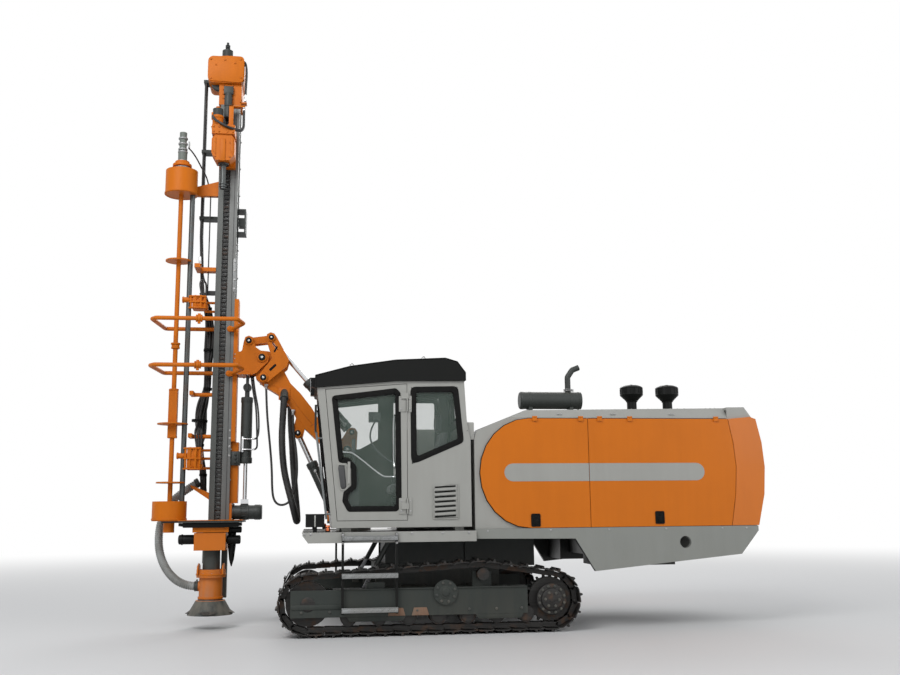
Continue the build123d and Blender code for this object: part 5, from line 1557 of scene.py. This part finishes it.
class RIG_OT_mast(bpy.types.Operator):
    """Feed chain, head plate, bolts, hoses, grippers and guard knuckles of the mast"""
    bl_idname = "rig.mast"
    bl_label = "Mast details"

    def chain(self):
        link = Part()
        for x in (-26, 26):
            side = [(-5, -31), (5, -31), (12, -24), (8, 0), (12, 24), (5, 31), (-5, 31), (-12, 24), (-8, 0),
                    (-12, -24)]
            link.loft([[(x + w, y, z) for y, z in side] for w in (-3, 3)])
        link.bar((-32, 0, -19), (32, 0, -19), 9, 10)
        link.bar((-32, 0, 19), (32, 0, 19), 9, 10)
        places = [((-2480, 124, 1150 + 50 * k), (0, 0, 1), (1, 0, 0)) for k in range(94)]
        piece = repeated("feed_chain_links", "mast", "chain_steel", "dark_metal", link.mesh("link"), places)
        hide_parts("feed_chain")

    def head(self):
        p = Part()
        line = rounded([(-2732, 6118), (-2322, 6108), (-2318, 6434), (-2520, 6434), (-2732, 6412)], 62, 8)
        p.plate(line, 48, 60)
        place(p, "head_cover_plate", "mast", "mast_orange", "orange_paint", 3)
        spots = [((x, 48, z), (0, -1, 0)) for x, z in ((-2700, 6385), (-2540, 6382), (-2360, 6396),
                (-2640, 6318), (-2424, 6346), (-2696, 6150), (-2350, 6170))]
        spots += [((x, 100, z), (0, -1, 0)) for x in (-2552, -2446) for z in (5930, 5985, 6040, 6090)]
        bolts("head_bolts", "mast", spots, 11, 9, "mast_orange", "orange_paint")
        p = Part()
        p.turned((-2610, 140, 6140), (0, 1, 0), [(0, 20), (0, 92), (14, 92), (18, 78), (44, 78), (48, 92),
                (62, 92)], 40)
        p.block(-2544, -2436, 58, 102, 5968, 6062)
        p.turned((-2490, 70, 5976), (0, 0, -1), [(0, 40), (30, 40), (34, 46), (160, 46), (164, 40),
                (182, 40), (186, 46), (300, 46), (306, 38)], 28)
        place(p, "head_pulley", "mast", "dark_metal", "dark_metal", 1.5)
        p = Part()
        for z, r in ((6432, 66), (6470, 50), (6545, 62)):
            p.turned((-2525, 200, z), (0, 0, 1), [(0, r), (14, r), (18, r * 0.8)], 24)
        for k in range(4):
            p.ring((-2525, 200, 6566 + 20 * k), (0, 0, 1), 21, 8, 20)
        place(p, "head_coupling", "mast", "dark_metal", "dark_metal", 1)
        p = Part()
        for k in range(3):
            y = 96 + 26 * k
            p.tube([(-2330, y, 6390), (-2302, y, 6380), (-2292, y, 6250), (-2300, y, 6080),
                    (-2300, y, 5960)], 12, 12)
        place(p, "head_side_hoses", "mast", "hose_rubber", "hose_rubber", 0, 60)
        p = Part()
        for k in range(3):
            fitting(p, (-2300, 96 + 26 * k, 5980), (0, 0, -1), 12, 1.0)
        place(p, "head_hose_ends", "mast", "cylinder_rod", "cylinder_rod", 1)
        p = Part().block(-2360, -2282, 84, 168, 5868, 5884).block(-2362, -2344, 84, 168, 5840, 5960)
        place(p, "head_hose_bracket", "mast", "mast_orange", "orange_paint", 2)

    def hoses(self):
        fits, sleeves, strands = Part(), Part(), Part()
        for y in (240, 280, 320):
            fitting(sleeves, (-2763, y, 3975), (0, 0, -1), 20, 0.9)
            fits.turned((-2763, y, 4060), (0, 0, -1), [(0, 17), (0, 22), (84, 22), (88, 18)], 18)
        place(fits, "mast_hose_ends", "mast", "cylinder_rod", "cylinder_rod", 1)
        place(sleeves, "mast_hose_nuts", "mast", "mast_orange", "orange_paint", 1)
        spine = [(-2736, 300, 3655, 26), (-2680, 330, 3480, 40), (-2636, 345, 3260, 52),
                (-2640, 350, 3000, 56),
                (-2660, 350, 2740, 34), (-2650, 345, 2560, 36), (-2690, 335, 2400, 60),
                (-2724, 330, 2200, 74),
                (-2700, 330, 2040, 48), (-2712, 320, 1930, 34), (-2690, 310, 1760, 30),
                (-2664, 300, 1600, 30), (-2650, 290, 1420, 30)]
        for k in range(8):
            a = math.tau * k / 8
            wave = [0.7 + 0.3 * math.sin(1.9 * i + 2.3 * k) for i in range(len(spine))]
            strands.tube([(x + math.cos(a) * s * w, y + math.sin(a) * s * 0.6 * w, z)
                    for (x, y, z, s), w in zip(spine, wave)], 15, 10, 5)
        place(strands, "mast_hose_bundle", "mast", "hose_rubber", "hose_rubber", 0, 60)
        ties = Part()
        for x, y, z, s in spine[1::2]:
            ties.turned((x, y, z - 14), (0.05, 0, 1), [(0, s), (0, s + 13), (28, s + 13), (28, s)], 20)
        place(ties, "hose_bundle_ties", "mast", "rubber_seal", "black_paint", 1)
        lines = Part()
        for y in (150, 172):
            lines.bar((-2664, y, 4752), (-2664, y, 3640), 6, 10)
        lines.block(-2674, BEAM_FRONT - 0.5, 140, 186, 3600, 3646)
        lines.tube([(-2905, -50, 5250), (-2860, 20, 5230), (-2760, 120, 5060), (-2700, 160, 4950),
                (-2690, 176, 4860)], 8, 8)
        place(lines, "carousel_cables", "mast", "hose_rubber", "hose_rubber", 0, 60)
        grips = Part()
        for z in (3540, 1880):
            for k in range(3):
                y = -60 + 42 * k
                grips.tube([(-2700 + 14 * k, y, z - 2), (-2716 + 26 * k, y + 10, z + 70),
                        (-2748 + 34 * k, 120 + 10 * k, z + 190), (-2740 + 10 * k, 236 + 24 * k, z + 250),
                        (-2735, 262 + 20 * k, z + 320)], 11, 10)
        place(grips, "gripper_hoses", "mast", "hose_rubber", "hose_rubber", 0, 60)

    def fittings(self):
        p = Part()
        line = rounded([(-2384, 3627), (-2346, 3627), (-2346, 4017), (-2384, 4017)], 14)
        p.plate(line, 93, 101)
        place(p, "mast_wear_plate", "mast", "mast_metal", "mast_metal", 2)
        spots = [((-2366, 93, z), (0, -1, 0)) for z in (3665, 3770, 3875, 3980)]
        for z in (1800, 1900, 1990, 2075):
            spots.append(((-2370, 100, z), (0, -1, 0)))
        for z in range(1210, 5800, 330):
            spots += [((-2357, y, z), (1, 0, 0)) for y in (122, 378)]
        bolts("mast_bolts", "mast", spots, 10, 8)
        p = Part()
        p.block(-2357, -2255, 120, 200, 1696, 1848)
        p.block(-2345, -2268, 112, 122, 1712, 1832)
        for z in (1730, 1772, 1814):
            p.turned((-2306, 112, z), (0, -1, 0), [(0, 14), (14, 14), (16, 10)], 12)
        place(p, "mast_valve_block", "mast", "dark_metal", "dark_metal", 4)
        p = Part()
        for z in HOOPS:
            p.turned((-2720, -400, z), (1, 0, 0), [(0, 23), (2, 40), (16, 40), (18, 30), (52, 30), (54, 40),
                    (68, 40), (70, 23)], 20)
            p.block(-2700, -2670, -412, -388, z - 58, z + 52)
            p.turned((-2400, 46, z - 30), (0.4, -1, 0.1), [(0, 34), (20, 34), (24, 26)], 20)
        place(p, "guard_hoop_knuckles", "mast", "mast_orange", "orange_paint", 2)
        spots = []
        for z in HOOPS:
            spots += [((x, -400, z + k), (0, -1, 0)) for x in (-2711, -2659) for k in (-24, 24)]
            spots += [((-2365, y, z - 30), (1, 0, 0)) for y in (45, 85)]
        bolts("hoop_bolts", "mast", spots, 8, 24, "mast_orange", "orange_paint")

        p = Part()
        for z0, z1 in GRIPPERS:
            mid = (z0 + z1) / 2
            for z in (z0 + 4, mid - 8, z1 - 20):
                p.level([(-2838, -100), (-2800, -128), (-2716, -134), (-2650, -112), (-2646, -60),
                        (-2700, -84), (-2830, -70)], z, z + 15)
            for x, y in ((-2812, -100), (-2764, -114), (-2706, -116), (-2664, -96)):
                p.turned((x, y, z0 + 1), (0, 0, 1), [(0, 9), (2, 12), (z1 - z0 - 4, 12), (z1 - z0 - 1, 9)],
                        14)
            p.block(-2796, -2690, -112, -92, z0 + 20, z1 - 22)
            for x in (-2786, -2732):
                p.loft([[(x, y, z0 + 20), (x + 10, y, z0 + 20), (x + 34, y, mid), (x + 10, y, z1 - 22),
                        (x, y, z1 - 22), (x + 22, y, mid)] for y in (-124, -111)])
            p.bar((-2800, -60, mid + 30), (-2892, -60, mid + 30), 30, 20)
            p.turned((-2892, -60, mid + 30), (-1, 0, 0), [(0, 36), (14, 36), (18, 26)], 20)
            p.block(-2668, -2640, -70, 60, z0 + 10, z0 + 60)
        place(p, "gripper_covers", "mast", "mast_orange", "orange_paint", 3)
        spots = []
        for z0, z1 in GRIPPERS:
            spots += [((x, -112, z), (0, -1, 0)) for x in (-2748, -2700) for z in (z0 + 32, z1 - 34)]
        bolts("gripper_bolts", "mast", spots, 9, 9, "mast_orange", "orange_paint")

    def foot(self):
        p = Part()
        for x0, x1, z, r in ((-2852, -2684, 912, 50), (-2356, -2212, 906, 46), (-2356, -2202, 1010, 34)):
            p.turned((x0, -120, z), (1, 0, 0), [(0, r * 0.7), (8, r), (x1 - x0 - 8, r),
                    (x1 - x0, r * 0.7)], 28)
            p.turned((x0 + 30, -120, z), (1, 0, 0), [(0, r + 0.5), (0, r + 6), (16, r + 6), (16, r + 0.5)],
                    28)
        p.plate([(-2840, 1083), (-2196, 1083), (-2196, 1050), (-2380, 1034), (-2700, 1034), (-2840, 1052)],
                -262, -170)
        p.turned((-2306, -60, 1080), (0, 0, -1), [(0, 44), (240, 42), (380, 26), (452, 5)], 20)
        place(p, "foot_rams", "mast", "black_paint", "black_paint", 3)
        p = Part()
        p.level([(-2850, -310), (-2185, -310), (-2185, 90), (-2850, 90)], 1105, 1112)
        p.block(-2700, -2330, -230, -218, 985, 1083)
        place(p, "foot_top_plate", "mast", "mast_orange", "orange_paint", 2)
        p = Part()
        for side in (-1, 1):
            x = -2513 + side * 128
            p.loft([[(x + w, -180, 552), (x + w, 80, 552), (x + w, 60, 640), (x + w, -50, 664),
                    (x + w, -160, 640)] for w in (-8, 8)])
        p.turned((*DRILL_AT, 540), (0, 0, 1), [(0, 122), (2, 156), (18, 156), (24, 122)], 44)
        p.turned((*DRILL_AT, 300), (0, 0, 1), [(0, 121), (2, 130), (22, 130), (24, 121)], 44)
        place(p, "dust_hood_collar", "mast", "mast_orange", "orange_paint", 2)
        p = Part()
        outer, inner = [], []
        for z, base, wave in ((298, 126, 0), (252, 142, 2), (206, 178, 12), (168, 226, 30)):
            ring = []
            for k in range(48):
                a = math.tau * k / 48
                r = base + wave * math.cos(4 * a)
                ring.append((DRILL_AT[0] + r * math.cos(a), DRILL_AT[1] + r * math.sin(a),
                        z - wave * 0.5 * math.cos(4 * a)))
            outer.append(ring)
            inner.append([(DRILL_AT[0] + (x - DRILL_AT[0]) * 0.95, DRILL_AT[1] + (y - DRILL_AT[1]) * 0.95,
                    z - 2) for x, y, z in ring])
        p.loft(outer + inner[::-1], closed=True)
        place(p, "dust_hood_skirt", "mast", "skirt_rubber", "hose_rubber", 0, 60)
        spots = circle_spots((*DRILL_AT, 564), (0, 0, 1), 142, 10, 0.3)
        bolts("dust_hood_bolts", "mast", spots, 8, 8)

        motor = Part()
        for x in (-2250, -2170):
            motor.turned((x, 200, 1190), (1, 0, 0), [(0, 76.5), (0, 81), (20, 81), (20, 76.5)], 40)
        motor.turned((-2090, 200, 1190), (1, 0, 0), [(0, 76.5), (0, 82), (60, 82), (72, 76), (78, 60)], 40)
        for k in range(12):
            a = math.tau * k / 12
            y, z = 200 + 79 * math.cos(a), 1190 + 79 * math.sin(a)
            motor.bar((-2228, y, z), (-2170, y, z), 4, 8)
        place(motor, "feed_motor_rings", "mast", "dark_metal", "dark_metal", 1)
        spots = [((-2330, y, z), (1, 0, 0)) for y in (122, 278, 378) for z in (1120, 1276)]
        bolts("feed_motor_bolts", "mast", spots, 10, 10)

    def carousel(self):
        p = Part()
        for z, r in ((5000, 84), (5074, 62), (5186, 54)):
            p.turned((*POLE_AT, z), (0, 0, 1), [(0, r), (16, r), (20, r * 0.9)], 32)
        p.block(-2905, -2890, -70, -30, 5250, 5320)
        for k in range(3):
            p.turned((*POLE_AT, 5216 + 64 * k), (0, 0, 1), [(0, 46), (3, 52), (18, 52), (21, 46)], 28)
        place(p, "index_motor_rings", "mast", "mast_metal", "dark_metal", 1)
        p = Part()
        p.turned((*POLE_AT, 5020), (0, 0, 1), [(0, 79), (0, 104), (26, 104), (30, 96), (30, 79)], 40)
        for z in (4700, 1120):
            r = 176 if z > 4000 else 179
            p.turned((*POLE_AT, z - 6), (0, 0, 1), [(0, r), (0, r + 5), (18, r + 5), (18, r)], 56)
        place(p, "carousel_rims", "mast", "mast_orange", "orange_paint", 1)
        spots = circle_spots((*POLE_AT, 5046), (0, 0, 1), 92, 8)
        bolts("carousel_bolts", "mast", spots, 8, 8, "mast_orange", "orange_paint")
        p = Part()
        for z, r in ((2992, 50), (2948, 46), (2120, 120), (1980, 52), (2488, 52)):
            p.turned((*POLE_AT, z), (0, 0, 1), [(0, r * 0.8), (4, r), (20, r), (24, r * 0.8)], 28)
        place(p, "carousel_collars", "carousel", "mast_orange", "orange_paint", 1)

    def execute(self, context):
        self.chain()
        self.head()
        self.hoses()
        self.fittings()
        self.foot()
        self.carousel()
        return {"FINISHED"}


class RIG_OT_rotary_head(bpy.types.Operator):
    """Motor, hose loops, cradle ribs and bolts of the rotary head"""
    bl_idname = "rig.rotary_head"
    bl_label = "Rotary head details"

    def execute(self, context):
        p = Part()
        p.turned((*HEAD_MOTOR_AT, 5484), (0, 0, 1), [(0, 66), (20, 66), (26, 60), (120, 60), (124, 66),
                (150, 66), (156, 58), (200, 56), (232, 50), (240, 30)], 36)
        p.block(-2660, -2628, -86, -34, 5600, 5676)
        p.turned((*HEAD_MOTOR_AT, 5724), (0, 0, 1), [(0, 24), (26, 24), (30, 16)], 16)
        place(p, "rotation_motor", "rotary_head", "mast_orange", "orange_paint", 1.5)
        p = Part()
        p.block(-2470, -2420, -34, 14, 5488, 5790)
        p.block(-2470, -2290, -34, 34, 5776, 5792)
        p.plate([(-2540, 5488), (-2390, 5488), (-2425, 5600), (-2465, 5600)], 5, 19)
        p.block(-2540, -2486, -184, -168, 5070, 5330)
        for x0, x1 in ((-2622, -2590), (-2430, -2400)):
            p.loft([[(x0, y, 5190), (x1, y, 5140), (x1, y, 5340), (x0, y, 5350)] for y in (-178, -168)])
        place(p, "rotary_head_cradle", "rotary_head", "mast_orange", "orange_paint", 2)
        for k in range(2):
            s = 22 * k
            hose(f"rotary_head_hose_{k}", [(-2305, -10 + s, 5764), (-2305, -14 + s, 5640),
                    (-2300, -40 + s, 5520), (-2330, -120 + s, 5452), (-2430, -215 + 12 * k, 5440),
                    (-2540, -226 + 12 * k, 5492), (-2630, -170, 5570),
                    (-2646, -90 + s, 5622 + s)], 14, "rotary_head")
        p = Part()
        for k in range(2):
            fitting(p, (-2305, -10 + 22 * k, 5780), (0, 0, -1), 13, 0.5)
        place(p, "rotary_head_hose_ends", "rotary_head", "cylinder_rod", "cylinder_rod", 1)
        spots = [((x, -190, z), (0, -1, 0)) for x in (-2620, -2560, -2466, -2406) for z in (5408, 5466)]
        spots += [((x, -170, z), (0, -1, 0)) for x in (-2600, -2436) for z in (5120, 5290)]
        spots += circle_spots((*HEAD_MOTOR_AT, 5504), (0, 0, 1), 62, 6, 0.4)
        bolts("rotary_head_bolts", "rotary_head", spots, 10, 9, "mast_orange", "orange_paint")
        p = Part()
        for z in (5048, 4800, 4830):
            p.turned((*DRILL_AT, z), (0, 0, 1), [(0, 31.5), (2, 40), (16, 40), (18, 31.5)], 28)
        place(p, "shank_rings", "spindle", "drill_steel", "dark_metal", 0.5)
        return {"FINISHED"}


# Main
OPERATORS = (RIG_OT_stage, RIG_OT_finishes, RIG_OT_hoses, RIG_OT_tracks, RIG_OT_crawler, RIG_OT_hood,
        RIG_OT_exhaust,
        RIG_OT_cab, RIG_OT_cab_inside, RIG_OT_deck, RIG_OT_boom, RIG_OT_mast, RIG_OT_rotary_head)


class RIG_PT_panel(bpy.types.Panel):
    """Sizes, colours and pieces of the rig"""
    bl_label = "Drilling Rig"
    bl_idname = "RIG_PT_panel"
    bl_space_type = "VIEW_3D"
    bl_region_type = "UI"
    bl_category = "Drilling Rig"

    def draw(self, context):
        rig = context.scene.drill_rig
        for group in (rig.paint, rig.tracks, rig.hoses, rig.stage):
            box = self.layout.box()
            for name in group.__annotations__:
                box.prop(group, name)
        for operator in OPERATORS:
            self.layout.operator(operator.bl_idname)


CLASSES = (RigPaint, RigTracks, RigHoses, RigStage, RigSettings, *OPERATORS, RIG_PT_panel)


def register():
    for c in CLASSES:
        bpy.utils.register_class(c)
    bpy.types.Scene.drill_rig = PointerProperty(type=RigSettings)


def unregister():
    del bpy.types.Scene.drill_rig
    for c in reversed(CLASSES):
        bpy.utils.unregister_class(c)


def main():
    """Registers the add-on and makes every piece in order."""
    register()
    for operator in OPERATORS:
        group, name = operator.bl_idname.split(".")
        getattr(getattr(bpy.ops, group), name)()


if __name__ == "__main__":
    main()
